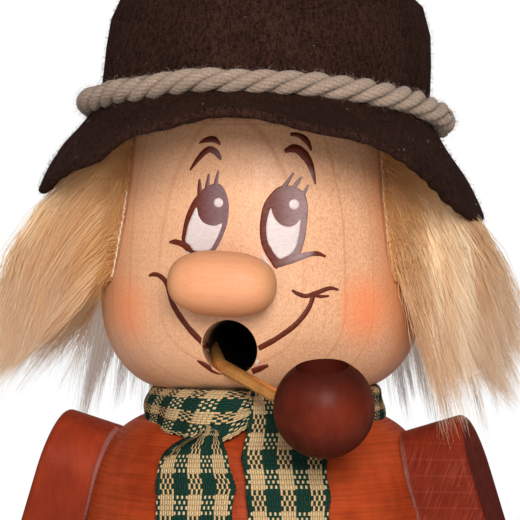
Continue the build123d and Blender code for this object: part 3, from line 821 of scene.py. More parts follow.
class Growth(NodeMaker):
    def __init__(self, name, sizes):  # sizes are the tree's number inputs and their values
        super().__init__(bpy.data.node_groups.new(name, "GeometryNodeTree"))
        face = self.tree.interface
        face.new_socket("Geometry", in_out="INPUT", socket_type="NodeSocketGeometry")
        face.new_socket("Geometry", in_out="OUTPUT", socket_type="NodeSocketGeometry")
        self.values = {}
        for key, value in sizes.items():
            kind = "NodeSocketInt" if isinstance(value, int) else "NodeSocketFloat"
            self.values[face.new_socket(key, in_out="INPUT", socket_type=kind).identifier] = value
        self.entry = self.tree.nodes.new("NodeGroupInput")
        self.exit = self.tree.nodes.new("NodeGroupOutput")

    def given(self, key):
        return Val(self, self.entry.outputs[key])

    def named(self, name, kind="FLOAT_VECTOR"):
        return self.add("GeometryNodeInputNamedAttribute", {"data_type": kind}, {"Name": name})

    def store(self, geometry, name, value, kind="FLOAT"):
        sockets = {"Geometry": geometry, "Name": name, "Value": value}
        return self.add("GeometryNodeStoreNamedAttribute", {"data_type": kind, "domain": "POINT"}, sockets)

    def chance(self, low, high, seed, vector=False, **more):
        kind, first, out = ("FLOAT_VECTOR", 0, 0) if vector else ("FLOAT", 2, 1)
        sockets = {first: low, first + 1: high, "Seed": seed, **more}
        return self.add("FunctionNodeRandomValue", {"data_type": kind}, sockets, out)

    def combine(self, x, y, z):
        return self.add("ShaderNodeCombineXYZ", None, {0: x, 1: y, 2: z})

    def scattered(self, base, count, seed):  # points on a surface
        face = {"Geometry": base, "Attribute": self.add("GeometryNodeInputMeshFaceArea")}
        area = self.add("GeometryNodeAttributeStatistic", {"domain": "FACE"}, face, "Sum")
        sockets = {"Mesh": base, "Density": count / area, "Seed": seed}
        return self.add("GeometryNodeDistributePointsOnFaces", None, sockets)

    def ring(self, sides, radius):
        return self.add("GeometryNodeCurvePrimitiveCircle", None, {"Resolution": sides, "Radius": radius})

    def tube(self, curve, sides, radius, **more):
        sockets = {"Curve": curve, "Profile Curve": self.ring(sides, radius)}
        return self.add("GeometryNodeCurveToMesh", None, {**sockets, **more})

    def bent(self, parts, start, startHandle, endHandle, end):
        ends = {"Start": start, "Start Handle": startHandle, "End Handle": endHandle, "End": end}
        return self.add("GeometryNodeCurvePrimitiveBezierSegment", None, {"Resolution": parts, **ends})

    def jostled(self, points, least, most, seed):  # the points' own turn, and a little more at random
        more = self.add("FunctionNodeEulerToRotation", None, {0: self.chance(least, most, seed, True)})
        turns = {0: points.out("Rotation"), 1: more}
        return self.add("FunctionNodeRotateRotation", {"rotation_space": "LOCAL"}, turns)

    def placed(self, points, instance, **how):
        return self.add("GeometryNodeInstanceOnPoints", None, {"Points": points, "Instance": instance, **how})

    def moved(self, geometry, **how):
        return self.add("GeometryNodeSetPosition", None, {"Geometry": geometry, **how})

    def joined(self, parts):
        join = self.tree.nodes.new("GeometryNodeJoinGeometry")
        for part in parts:
            self.tree.links.new(part.socket, join.inputs[0])
        return Val(self, join.outputs[0])

    def close(self, geometry, material):
        solid = self.add("GeometryNodeRealizeInstances", None, {"Geometry": geometry})
        coated = self.add("GeometryNodeSetMaterial", None, {"Geometry": solid, "Material": material})
        self.feed(self.exit.inputs["Geometry"], coated)

    def grow(self, base, name, body="upper"):
        modifier = base.modifiers.new(name, "NODES")
        modifier.node_group = self.tree
        for identifier, value in self.values.items():
            modifier[identifier] = value
        graph = bpy.context.evaluated_depsgraph_get()
        grown = base.evaluated_get(graph)
        mesh = bpy.data.meshes.new_from_object(grown, preserve_all_data_layers=True, depsgraph=graph)
        base.modifiers.remove(modifier)
        mesh.polygons.foreach_set("use_smooth", [True] * len(mesh.polygons))
        piece = bpy.data.objects.new(name, mesh)
        scene.collection.objects.link(piece)
        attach(piece, body)
        return piece


def fibreGrowth(name, fibre, material):
    # Loose fibres on a surface: thin bent hairs, turned at random and leaning over
    sizes = {"Length": fibre["length"] * mm, "Thickness": fibre["thickness"] * mm}
    growth = Growth(name, {"Count": fibre["count"], **sizes, "Seed": fibre["seed"]})
    spread = growth.scattered(growth.given("Geometry"), growth.given("Count"), growth.given("Seed"))
    size, lift = growth.given("Length"), fibre["lift"]
    rising = growth.combine(size * 0.1, 0, size * lift)
    leaning = growth.combine(size * 0.5, size * 0.15, size * lift)
    path = growth.bent(2, (0, 0, 0), rising, leaning, growth.combine(size, size * 0.3, size * lift * 0.6))
    thin = growth.ramp(growth.add("GeometryNodeSplineParameter"), 0.4, 1.0, 1.0, 0.15)
    hair = growth.tube(path, 3, growth.given("Thickness"), Scale=thin)
    turned = growth.jostled(spread, (-0.5, -0.5, 0), (0.5, 0.5, 6.283), 7)
    share = growth.chance(0.35, 1.0, 11)
    hairs = growth.placed(spread, hair, Rotation=turned, Scale=growth.combine(share, share, share))
    growth.close(hairs, material)
    return growth


# Felt hat: crown and brim are one sheet
# The brim's droop is set all round, in degrees from the face towards the figure's left

feltHat = {
    "back": 2.2,
    "height": 60.6,
    "tilt": 9.3,
    "roll": 0.9,
    "felt": 2.1,
    "crown": (
        (0.0, 29.9), (8.0, 30.5), (15.0, 31.2), (22.0, 30.6), (28.6, 28.4), (33.2, 24.4), (35.2, 18.5),
        (35.9, 12.0), (36.2, 6.0), (36.2, 2.5), (36.3, 0.2),
    ),
    "lean": 0.03,  # of the crown, towards the figure's left
    "droop": (
        (-180, 33), (-150, 31), (-125, 30), (-110, 34.5), (-105, 39), (-100, 44), (-95, 48), (-90, 51.6),
        (-85, 54.4), (-80, 56.4), (-70, 58.6), (-60, 57.2), (-50, 53.6), (-40, 48.8), (-35, 47.4), (-30, 45),
        (-25, 38.6), (-20, 32.6), (-15, 29.2), (-10, 27.2), (-5, 23.2), (0, 19.6), (5, 19), (10, 19.6),
        (15, 21.8), (20, 24.6), (25, 26.4), (30, 27.4), (35, 29.2), (40, 32.4), (45, 36.8), (50, 41.6),
        (55, 46), (60, 51.4), (70, 58.4), (80, 61.6), (90, 62), (100, 60), (110, 55.4), (120, 48), (130, 41),
        (145, 36), (160, 34), (180, 33),
    ),
    "width": ((-180, 22.5), (-90, 22.2), (-30, 22.8), (30, 22.8), (90, 24.2), (125, 23.8), (180, 22.5)),
    "arch": (
        (-180, -0.08), (-140, -0.10), (-65, -0.11), (-38, 0.02), (0, 0.10), (38, 0.02), (65, -0.10),
        (140, -0.10), (180, -0.08),
    ),
    "brim": {"from": (36.2, -0.5), "steps": 14},
    "turns": 288,
    "lumps": 0.22,
    "tone": ((62, 39, 31), (20, 11, 8)),
    "fuzzTone": ((84, 54, 41), (46, 28, 21)),
    "lintTone": ((214, 204, 196), (176, 160, 150)),
    "fuzz": {"count": 15000, "length": 1.3, "thickness": 0.04, "lift": 0.7, "seed": 3},
    "lint": {"count": 170, "length": 0.8, "thickness": 0.05, "lift": 0.3, "seed": 8},
}
hatRoll = Matrix.Rotation(math.radians(feltHat["roll"]), 4, "Y")
hatTilt = Matrix.Rotation(math.radians(-feltHat["tilt"]), 4, "X")
hatFrame = Matrix.Translation((0, feltHat["back"], headZ + feltHat["height"])) @ (hatRoll @ hatTilt)


def spin(radius, angle, height):  # a point round the Z axis, its angle in degrees from the face
    turn = math.radians(angle)
    return Vector((radius * math.sin(turn), -radius * math.cos(turn), height))


def hatOutline(angle):
    # Outside of the sheet from the crown's middle to the brim's edge, then back along the inside
    droop = math.radians(keyed(feltHat["droop"], angle))
    width = keyed(feltHat["width"], angle)
    arch = keyed(feltHat["arch"], angle)
    outer = [list(p) for p in feltHat["crown"]]
    (radius, level), steps = feltHat["brim"]["from"], feltHat["brim"]["steps"]
    for i in range(1, steps + 1):
        s = i / steps
        bend = droop * (0.86 + 0.14 * smooth(s, 0.0, 0.35)) + arch * math.sin(math.pi * s)
        outer.append([radius + width * s * math.cos(bend), level - width * s * math.sin(bend)])
    inner = []
    for i, (r, z) in enumerate(outer):
        before, after = outer[max(i - 1, 0)], outer[min(i + 1, len(outer) - 1)]
        run = Vector((after[0] - before[0], after[1] - before[1])).normalized()
        inner.append([max(r + run.y * feltHat["felt"], 0.0), z - run.x * feltHat["felt"]])
    inner[0][0] = 0.0
    tip, under = Vector(outer[-1]), Vector(inner[-1])
    past = Vector((math.cos(droop), -math.sin(droop))) * feltHat["felt"] * 0.42
    edge = [
        tip * 0.86 + under * 0.14 + past * 0.7, (tip + under) / 2 + past,
        tip * 0.14 + under * 0.86 + past * 0.7,
    ]
    return outer + [list(p) for p in edge] + inner[::-1]


def feltFinish(name, light, dark):
    finish = Finish(name, {"Specular IOR Level": 0.04})
    fibres = finish.ramp(finish.noise((1.3, 1.3, 0.55), 4, 0.75), 0.36, 0.68)
    nap = finish.ramp(finish.noise((2.1, 2.1, 2.1), 3, 0.7), 0.42, 0.66)
    cloud = finish.ramp(finish.noise((0.09, 0.09, 0.09), 3), 0.3, 0.7)
    color = finish.blend(fibres, linear(*dark), linear(*light))
    color = finish.blend(nap * 0.5, color, linear(*[c * 1.35 for c in light]))
    color = finish.blend(cloud * 0.3, color, linear(*dark))
    finish.put("Base Color", color)
    finish.put("Roughness", finish.ramp(nap, 0.0, 1.0, 0.9, 1.0))
    finish.bump(fibres * 0.7 + nap * 0.5, 0.22, 0.9)
    return finish.material


def makeHat():
    turns = feltHat["turns"]
    points, faces = [], []
    size = len(hatOutline(0))
    for step in range(turns):
        angle = -180 + 360 * step / turns
        for i, (r, z) in enumerate(hatOutline(angle)):
            if i in (0, size - 1):
                continue
            spot = spin(r, angle, z) + Vector((feltHat["lean"] * max(z, 0.0), 0, 0))
            push = noise.noise(spot * 0.085) * 1.6 + noise.noise(spot * 0.35) * 0.6
            spot += Vector((spot.x, spot.y, 6.0)).normalized() * push * feltHat["lumps"]
            points.append(hatFrame @ spot)
    size -= 2
    for step in range(turns):
        a, b = step * size, (step + 1) % turns * size
        faces += [(a + i, b + i, b + i + 1, a + i + 1) for i in range(size - 1)]
    for i, z in ((0, hatOutline(0)[0][1]), (size - 1, hatOutline(0)[-1][1])):
        points.append(hatFrame @ Vector((0, 0, z)))
        faces += [(step * size + i, (step + 1) % turns * size + i, len(points) - 1) for step in range(turns)]
    hat = newPiece("feltHat", points, faces, feltFinish("brownFelt", *feltHat["tone"]))
    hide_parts("felt_hat")
    fuzzFinish = feltFinish("feltFuzz", *feltHat["fuzzTone"])
    fuzz = fibreGrowth("feltFuzzGrowth", feltHat["fuzz"], fuzzFinish).grow(hat, "hatFuzz")
    pale = Finish("paleLint", {"Roughness": 0.9})
    pale.put("Base Color", pale.mottled(pale.noise((1, 1, 1)), feltHat["lintTone"]))
    lint = fibreGrowth("lintGrowth", feltHat["lint"], pale.material).grow(hat, "hatLint")


makeHat()
print("hat shaped")


# Rope band: three strands laid round each other, each a bundle of twisted yarns, with loose fibres

hatRope = {
    "ring": 38.75,
    "rise": 0.6,
    "strandRadius": 1.42,
    "layRadius": 1.38,
    "turns": 43.0 / 3,
    "twist": -24.0,
    "yarns": 7,
    "steps": 440,
    "uneven": 0.3,
    "tone": ((184, 160, 140), (146, 120, 102)),
    "fuzzTone": ((204, 180, 160), (168, 140, 120)),
    "slips": ((-45.0, 0.0, -1.2), (100.0, 0.6, -0.8)),  # angle, and how far out and up it lies there
    "fuzz": {"count": 8000, "length": 1.9, "thickness": 0.034, "lift": 0.5, "seed": 21},
}


def ropeFinish(name, light, dark):
    finish = Finish(name, {"Specular IOR Level": 0.2, "Sheen Weight": 0.15, "Sheen Roughness": 0.5})
    groove = finish.attribute("yarnGrooveShade")
    hollow = finish.attribute("layHollowShade")
    fibre = finish.ramp(finish.noise((2.6, 2.6, 2.6), 4, 0.7), 0.3, 0.72)
    color = finish.blend(fibre, linear(*light), linear(*dark))
    # Painted shade in the grooves between the yarns and in the hollows between the strands
    color = finish.blend(groove * 0.34, color, linear(*[c * 0.6 for c in dark]))
    color = finish.blend(hollow * 0.85, color, linear(*[c * 0.36 for c in dark]))
    finish.put("Base Color", color)
    finish.put("Roughness", finish.ramp(fibre, 0.0, 1.0, 0.8, 0.95))
    finish.bump(fibre * 0.7 - groove * 0.25, 0.14, 0.9)
    return finish.material


def makeRope():
    twoPi = 2 * math.pi
    radii = (("Ring", "ring"), ("Lay Radius", "layRadius"), ("Strand Radius", "strandRadius"))
    sizes = {key: hatRope[source] * mm for key, source in radii}
    sizes.update({"Turns": hatRope["turns"], "Twist": hatRope["twist"], "Steps": hatRope["steps"]})
    growth = Growth("ropeGrowth", sizes)
    factor = growth.add("GeometryNodeSplineParameter")
    section = growth.ring(hatRope["yarns"] * 4, growth.given("Strand Radius"))
    wave = (growth.add("GeometryNodeSplineParameter") * (twoPi * hatRope["yarns"])).op("COSINE")
    where = growth.add("GeometryNodeInputPosition")
    section = growth.moved(section, Position=growth.times(where, wave * 0.03 + 0.97))
    # a mask for painted shade in the grooves between the yarns
    section = growth.store(section, "yarnGrooveShade", growth.ramp(wave, -1.0, 0.1, 1.0, 0.0))
    strands = []
    for strand in range(3):
        ring = growth.ring(growth.given("Steps"), growth.given("Ring"))
        angle = factor * growth.given("Turns") * twoPi + strand * twoPi / 3
        outward = growth.vector("NORMALIZE", where)
        lift = growth.combine(0.0, 0.0, angle.op("SINE") * growth.given("Lay Radius"))
        aside = growth.times(outward, angle.op("COSINE") * growth.given("Lay Radius"))
        swing = growth.vector("ADD", aside, lift)
        grain = {"Vector": growth.times(where, 90.0), "Scale": 1.0, "Detail": 2.0}
        drift = growth.add("ShaderNodeTexNoise", None, grain, "Color")
        drift = growth.vector("SUBTRACT", drift, (0.5, 0.5, 0.5))
        swing = growth.vector("ADD", swing, growth.times(drift, hatRope["uneven"] * 4 * mm))
        for turn, out, up in hatRope["slips"]:
            near = growth.vector("DOT_PRODUCT", outward, tuple(spin(1.0, turn, 0.0)), out=1)
            near = growth.ramp(near, 0.8, 1.0)
            raised = growth.combine(0.0, 0.0, near * (up * mm))
            slip = growth.vector("ADD", growth.times(outward, near * (out * mm)), raised)
            swing = growth.vector("ADD", swing, slip)
        ring = growth.moved(ring, Offset=swing)
        ring = growth.add("GeometryNodeSetCurveNormal", {"mode": "Z_UP"}, {"Curve": ring})
        twist = factor * growth.given("Twist") * -twoPi
        ring = growth.add("GeometryNodeSetCurveTilt", None, {"Curve": ring, "Tilt": twist})
        sides = {"Curve": ring, "Profile Curve": section, "Scale": 1.0}
        strands.append(growth.add("GeometryNodeCurveToMesh", None, sides))
    rope = growth.joined(strands)
    # a mask for painted shade in the hollows between the strands, near the rope's core
    spot = growth.add("ShaderNodeSeparateXYZ", None, {0: growth.add("GeometryNodeInputPosition")}, 0)
    run = growth.combine(spot, spot.out(1), 0.0)
    depth = growth.vector("LENGTH", run, out=1) - growth.given("Ring")
    height = spot.out(2)
    core = (depth * depth + height * height).op("SQRT")
    rope = growth.store(rope, "layHollowShade", growth.ramp(core, 0.9 * mm, 2.05 * mm, 1.0, 0.0))
    place = hatFrame.to_translation() * mm + hatFrame.to_3x3() @ Vector((0, 0, hatRope["rise"] * mm))
    turned = {"Geometry": rope, "Translation": place, "Rotation": hatFrame.to_euler()}
    growth.close(growth.add("GeometryNodeTransform", None, turned), ropeFinish("palmRope", *hatRope["tone"]))
    seed = bpy.data.objects.new("ropeSeed", bpy.data.meshes.new("ropeSeed"))
    scene.collection.objects.link(seed)
    rope = growth.grow(seed, "hatRope")
    bpy.data.objects.remove(seed)
    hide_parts("hat_rope")
    fuzzFinish = ropeFinish("ropeFuzz", *hatRope["fuzzTone"])
    fuzz = fibreGrowth("ropeFuzzGrowth", hatRope["fuzz"], fuzzFinish).grow(rope, "ropeFuzz")


makeRope()
print("rope laid")


# Hair: fur pile on a woven strip round the back of the head
# Each patch of roots carries how its strands bow and where they reach

hairStrip = {
    "leftEnd": 116.0,  # angle past which the strands fall as behind
    "low": 24.0,
    "high": 57.0,
    "sheet": 1.1,
    "tone": ((206, 150, 92), (172, 112, 60)),
    "cells": (150, 30),  # across and up
    "rootCells": (40, 22),
    "hem": 0.3,  # thickness at the seams
    "gap": 0.1,
    "thread": 0.15,
    "sway": 0.22,  # of the thread along an edge, in degrees
    "threadSteps": 120,
    "threadTones": {"left": (220, 174, 132), "right": (244, 216, 184)},
    "seed": 40,
    "stitch": {"pitch": 1.7, "length": 0.7, "thickness": 0.09},
    "bare": {"left": (33.0, 53.0), "right": (25.2, 43.5)},  # heights where no fur hides the thread
    "gold": {  # how golden the fur is, at angles away from the face
        "left": (
            (61, 1.0), (65, 0.9), (68.5, 0.5), (71, 0.0), (81, 0.0), (86, 0.7), (92, 0.6), (98, 0.2),
            (104, 0.4), (112, 0.2),
        ),
        "right": ((-112, 0.1), (-92, 0.3), (-80, 0.15), (-72, 0.55), (-64, 0.4), (-57, 0.8), (-50, 1.0)),
    },
    "furTop": {"long": 51.5, "short": 56.0, "behind": 5.0},  # roots stay below the brim, lower behind
}
furPile = {
    "finish": "blondFur", "points": 6, "thickness": 0.075, "guides": 150, "pull": 0.78, "scatter": 3.4,
    "wave": 2.0, "short": 0.58, "long": 1.18, "uneven": 0.3,
}
backPile = {
    "finish": "greyedFur", "points": 6, "thickness": 0.085, "guides": 80, "pull": 0.96, "scatter": 1.3,
    "wave": 1.0, "short": 0.68, "long": 1.12, "uneven": 0.5,
}
underFur = {
    "finish": "goldenFur", "points": 4, "thickness": 0.075, "guides": 400, "pull": 0.3, "scatter": 2.8,
    "wave": 2.0, "short": 0.5, "long": 1.2, "uneven": 0.24,
}
furTones = {  # at the root, the middle and the tip, the root tone darker as painted shade; how strong its glow is, as painted light; how warm its streaks are
    "blondFur": ((222, 160, 98), (255, 224, 178), (246, 224, 196), 0.09, 1.0),
    "goldenFur": ((190, 116, 54), (222, 156, 86), (244, 192, 128), 0.04, 1.0),
    # Painted shade: the back fur is a greyed, shaded copy of the blond fur, with a stronger glow
    "greyedFur": ((200, 164, 132), (200, 184, 170), (184, 176, 172), 0.32, 0.2),
}
furShades = {
    "pale": (252, 236, 208), "warm": (190, 132, 78), "clump": (200, 144, 86), "gold": (190, 134, 84),
    "streak": (212, 156, 100), "band": (190, 138, 92),
}
furPatches = {  # inset keeps the long strands away from the seam, so that the short golden ones show there
    "rightFur": {
        "from": "right", "inset": 8.0, "to": -118.0, "count": 5200, "replaces": "right_hair", "pile": furPile
    },
    "rightFurOver": {"from": "right", "inset": 3.5, "to": -112.0, "count": 5200, "pile": furPile},
    "rightUnderFur": {"from": "right", "inset": 0.3, "to": -72.0, "count": 7600, "pile": underFur},
    "leftFur": {
        "from": "left", "inset": 4.5, "to": 118.0, "count": 5200, "replaces": "left_hair", "pile": furPile
    },
    "leftFurOver": {"from": "left", "inset": 1.5, "to": 112.0, "count": 5200, "pile": furPile},
    "leftUnderFur": {"from": "left", "inset": 0.3, "to": 84.0, "count": 7000, "pile": underFur},
    "backFur": {
        "from": 108.0, "inset": 0.0, "to": 252.0, "count": 5200, "replaces": "back_hair", "pile": backPile
    },
    "backFurOver": {"from": 108.0, "inset": 0.0, "to": 252.0, "count": 5200, "pile": backPile},
}


def headPoint(angle, height):  # on the outside of the head at an angle from the face
    start = spin(90.0, angle, headZ + height)
    return headSurface.ray_cast(start, (Vector((0, 0, start.z)) - start).normalized())[0]


def edgeAngle(edge, height):  # an edge of the strip, or a plain angle
    return seamAngle(edge, height) if isinstance(edge, str) else edge


def furTop(angle, pile):
    tops = hairStrip["furTop"]
    sideways = angle if angle <= 180 else 360 - angle
    return tops["short" if pile is underFur else "long"] - tops["behind"] * smooth(abs(sideways), 95, 140)


def furField(angle, height, pile):
    # How a strand leaves its root and where it ends: outwards, backwards along the head, and down
    rise = (height - hairStrip["low"]) / (furTop(angle, pile) - hairStrip["low"])
    outward = spin(1.0, angle, 0.0)
    side = 1 if 0 < angle < 180 else -1
    backward = spin(1.0, angle + 90 * side, 0.0)
    down = Vector((0, 0, -1))
    if pile is underFur:
        under = smooth(height, 40, 46) if side < 0 else 0.0
        bow = outward * 2.0 + backward * (1.6 - 1.8 * under)
        return bow, outward * 2.2 + backward * (5.0 - 4.6 * under) + down * 5.0
    if angle < 0:
        inward = smooth(-angle, 48, 66)
        bow = outward * (5 + 11 * rise + 2 * inward) + backward * 2.5 + down * 7
        reach = outward * (17 + 3 * rise + 3 * inward) + backward * (7 - 4 * inward) + down * (20 + 19 * rise)
    elif angle < hairStrip["leftEnd"]:
        inward = smooth(angle, 62, 92)
        bow = outward * (2.5 + 2 * rise + inward * (4 + 6 * rise)) + backward * (3.0 - 2 * inward)
        bow += down * (10 + 2 * rise)
        reach = outward * (3.5 + 1.5 * rise + inward * (12 + 4 * rise))
        reach += backward * (5 + 8 * rise - 5 * inward)
        reach += down * (30 - 6 * inward + (7 + 2 * inward) * rise)
    else:
        bow = outward * (6 + 5 * rise) + down * (9 - 3 * rise)
        reach = outward * (11 + 6 * rise) + down * (31 + 8 * rise)
    return bow, reach


def stripHeight(apart):  # outside of the strip, at an angle away from its seam
    return hairStrip["hem"] + (hairStrip["sheet"] - hairStrip["hem"]) * smooth(apart, 0.0, 5.0)


def furRoots(name, start, inset, end, low, pile):
    across, tall = hairStrip["rootCells"]
    mesh = bpy.data.meshes.new(name)
    points, bows, reaches, faces, gold = [], [], [], [], []
    for i in range(across + 1):
        for j in range(tall + 1):
            rise = j / tall
            seam = edgeAngle(start, low + (hairStrip["high"] - low) * rise)
            first = seam + (inset if seam > 0 else -inset)
            angle = first + (end - first) * i / across
            height = low + (furTop(angle, pile) - low) * rise
            point = headPoint(angle if angle <= 180 else angle - 360, height)
            bow, reach = furField(angle, height, pile)
            lift = stripHeight(abs(angle - seam) if isinstance(start, str) else 90.0)
            points.append((point + outwards(point) * lift) * mm)
            bows += [c * mm for c in bow]
            reaches += [c * mm for c in reach]
            gold.append(keyed(hairStrip["gold"][start], angle) if isinstance(start, str) else 0.0)
    for i in range(across):
        for j in range(tall):
            a = i * (tall + 1) + j
            faces.append((a, a + 1, a + tall + 2, a + tall + 1))
    mesh.from_pydata(points, [], faces)
    for key, values in (("bow", bows), ("reach", reaches)):
        mesh.attributes.new(key, "FLOAT_VECTOR", "POINT").data.foreach_set("vector", values)
    mesh.attributes.new("gold", "FLOAT", "POINT").data.foreach_set("value", gold)
    patch = bpy.data.objects.new(name, mesh)
    scene.collection.objects.link(patch)
    return patch


def furGrowth(name, count, seed, material, pile):
    sizes = {
        "Count": count, "Seed": seed, "Guides": pile["guides"], "Points": pile["points"], "Pull": pile["pull"]
    }
    sizes.update({key: pile[key.lower()] * mm for key in ("Thickness", "Scatter", "Wave")})
    growth = Growth(name, sizes)
    patch = growth.given("Geometry")
    roots = growth.scattered(patch, growth.given("Count"), growth.given("Seed"))
    guides = growth.scattered(patch, growth.given("Guides"), growth.given("Seed") + 1)
    where = growth.add("GeometryNodeInputPosition")
    near = {"Geometry": guides, "Sample Position": where}
    nearest = growth.add("GeometryNodeSampleNearest", {"domain": "POINT"}, near)
    vectorAt = {"data_type": "FLOAT_VECTOR", "domain": "POINT"}
    guided = {"guideAt": where, "guideBow": growth.named("bow"), "guideReach": growth.named("reach")}
    for key, source in guided.items():
        sample = {"Geometry": guides, "Value": source, "Index": nearest}
        picked = growth.add("GeometryNodeSampleIndex", vectorAt, sample)
        roots = growth.store(roots, key, picked, "FLOAT_VECTOR")
    roots = growth.store(roots, "rootAt", where, "FLOAT_VECTOR")
    roots = growth.store(roots, "stray", growth.chance((-1, -1, -1), (1, 1, 1), 5, True), "FLOAT_VECTOR")
    clump = growth.chance(0.0, 1.0, 9, ID=nearest)
    share = clump * pile["uneven"] + (0.98 - pile["uneven"] / 2)
    roots = growth.store(roots, "grown", growth.chance(pile["short"], pile["long"], 6) * share)
    roots = growth.store(roots, "strandTone", growth.chance(0.0, 1.0, 7))
    roots = growth.store(roots, "clumpTone", clump)
    roots = growth.store(roots, "strandGold", growth.named("gold", "FLOAT"))
    roots = growth.store(roots, "loose", growth.ramp(growth.chance(0.0, 1.0, 12), 0.9, 1.0, 1.0, 2.2))
    line = {"Curve": growth.add("GeometryNodeCurvePrimitiveLine"), "Count": growth.given("Points")}
    line = growth.add("GeometryNodeResampleCurve", {"mode": "COUNT"}, line)
    strands = growth.add("GeometryNodeRealizeInstances", None, {"Geometry": growth.placed(roots, line)})
    t = growth.add("GeometryNodeSplineParameter")
    grown = growth.named("grown", "FLOAT")

    def path(at, bow, reach):
        bent = growth.times(growth.named(bow), t * (1 - t) * 2 * grown)
        led = growth.times(growth.named(reach), t * t * grown)
        return growth.vector("ADD", growth.named(at), growth.vector("ADD", bent, led))

    stray = growth.times(growth.named("stray"), t * growth.given("Scatter") * growth.named("loose", "FLOAT"))
    own = growth.vector("ADD", path("rootAt", "bow", "reach"), stray)
    apart = growth.times(growth.vector("SUBTRACT", growth.named("rootAt"), growth.named("guideAt")), 0.25)
    lead = growth.vector("ADD", path("guideAt", "guideBow", "guideReach"), apart)
    drawn = growth.between(t * growth.given("Pull"), own, lead)
    seen = growth.times(growth.named("rootAt"), 260.0)
    seen = growth.vector("ADD", seen, growth.combine(t * 2.6, 0.0, 0.0))
    curl = growth.add("ShaderNodeTexNoise", None, {"Vector": seen, "Scale": 1.0, "Detail": 1.0}, "Color")
    wave = growth.times(growth.vector("SUBTRACT", curl, (0.5, 0.5, 0.5)), t * growth.given("Wave") * 4)
    strands = growth.moved(strands, Position=growth.vector("ADD", drawn, wave))
    strands = growth.store(strands, "strandRun", t)
    thin = growth.ramp(t, 0.25, 1.0, 1.0, 0.12)
    growth.close(growth.tube(strands, 3, growth.given("Thickness"), Scale=thin), material)
    return growth


def furFinish(name, root, middle, tip, selfGlow, warm):
    # Sheer hair passes on some of the light from behind it, given here as a faint glow of its own colour
    finish = Finish(name, {"Specular IOR Level": 0.3, "Emission Strength": selfGlow})
    run = finish.attribute("strandRun")
    tone = finish.attribute("strandTone")
    clump = finish.attribute("clumpTone")
    shade = palette(furShades)
    # Painted shade: the darker root tone shades the fur near its roots
    color = finish.blend(finish.ramp(run, 0.0, 0.3), linear(*root), linear(*middle))
    color = finish.blend(finish.ramp(run, 0.2, 0.8), color, linear(*tip))
    color = finish.blend(finish.ramp(tone, 0.75, 1.0, 0.0, 0.5), color, shade["pale"])
    color = finish.blend(finish.ramp(tone, 0.0, 0.35, 0.4 * warm, 0.0), color, shade["warm"])
    warmer = finish.ramp(clump, 0.0, 0.7, 0.5 * warm, 0.0) * finish.ramp(run, 0.5, 1.0, 1.0, 0.3)
    color = finish.blend(warmer, color, shade["clump"])
    gold = finish.attribute("strandGold") * finish.ramp(run, 0.05, 0.4, 0.6, 1.0)
    gold = gold * finish.ramp(run, 0.55, 1.0, 1.0, 0.5)
    color = finish.blend(gold * 0.66, color, shade["gold"])
    streak = finish.ramp(finish.noise((0.2, 0.2, 0.03), 2), 0.44, 0.62)
    color = finish.blend(streak * (0.4 * warm), color, shade["streak"])
    band = finish.ramp(finish.noise((0.085, 0.085, 0.014), 2), 0.46, 0.6)
    color = finish.blend(band * (0.26 * warm), color, shade["band"])
    finish.put("Base Color", color)
    finish.put("Emission Color", color)
    finish.put("Roughness", finish.ramp(tone, 0.0, 1.0, 0.45, 0.62))
    return finish.material


def wovenStrip():
    finish = Finish("wovenStrip", {"Specular IOR Level": 0.2})
    weave = finish.ramp(finish.noise((2.4, 2.4, 1.2), 2, 0.6), 0.35, 0.65)
    finish.put("Base Color", finish.mottled(weave, hairStrip["tone"]))
    finish.put("Roughness", finish.ramp(weave, 0.0, 1.0, 0.8, 0.95))
    finish.bump(weave, 0.12, 0.8)
    return finish.material


def makeStrip():
    across, tall = hairStrip["cells"]
    points, faces = [], []
    for outside in (True, False):
        for i in range(across + 1):
            for j in range(tall + 1):
                height = hairStrip["low"] + (hairStrip["high"] - hairStrip["low"]) * j / tall
                left = edgeAngle("left", height)
                span = 360 + edgeAngle("right", height) - left
                point = headPoint(left + span * i / across, height)
                lift = stripHeight(span * min(i, across - i) / across) if outside else hairStrip["gap"]
                points.append(point + outwards(point) * lift)
    sheetFaces(faces, 0, across + 1, tall + 1)
    strip = newPiece("hairStrip", points, faces, wovenStrip())
    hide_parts("hair_backing")


def seamGrowth(material):
    # A thread along an edge, with slanting stitches over it
    stitch = hairStrip["stitch"]
    sizes = {key: stitch[key.lower()] * mm for key in ("Pitch", "Length", "Thickness")}
    growth = Growth("seamGrowth", {**sizes, "Thread": hairStrip["thread"] * mm})
    line = growth.add("GeometryNodeMeshToCurve", None, {"Mesh": growth.given("Geometry")})
    thread = growth.tube(line, 8, growth.given("Thread"), **{"Fill Caps": True})
    spaced = {"Curve": line, "Length": growth.given("Pitch")}
    spots = growth.add("GeometryNodeCurveToPoints", {"mode": "LENGTH"}, spaced)
    size = growth.given("Length")
    slant = ((-0.42, 0.0, -0.4), (-0.3, 0.45, -0.2), (0.3, 0.45, 0.2), (0.42, 0.0, 0.4))
    loop = growth.bent(6, *[growth.combine(*[size * c if c else 0.0 for c in spot]) for spot in slant])
    one = growth.tube(loop, 5, growth.given("Thickness"), **{"Fill Caps": True})
    turned = growth.jostled(spots, (-0.25, -0.25, -0.4), (0.25, 0.25, 0.4), 4)
    growth.close(growth.joined((thread, growth.placed(spots, one, Rotation=turned))), material)
    return growth


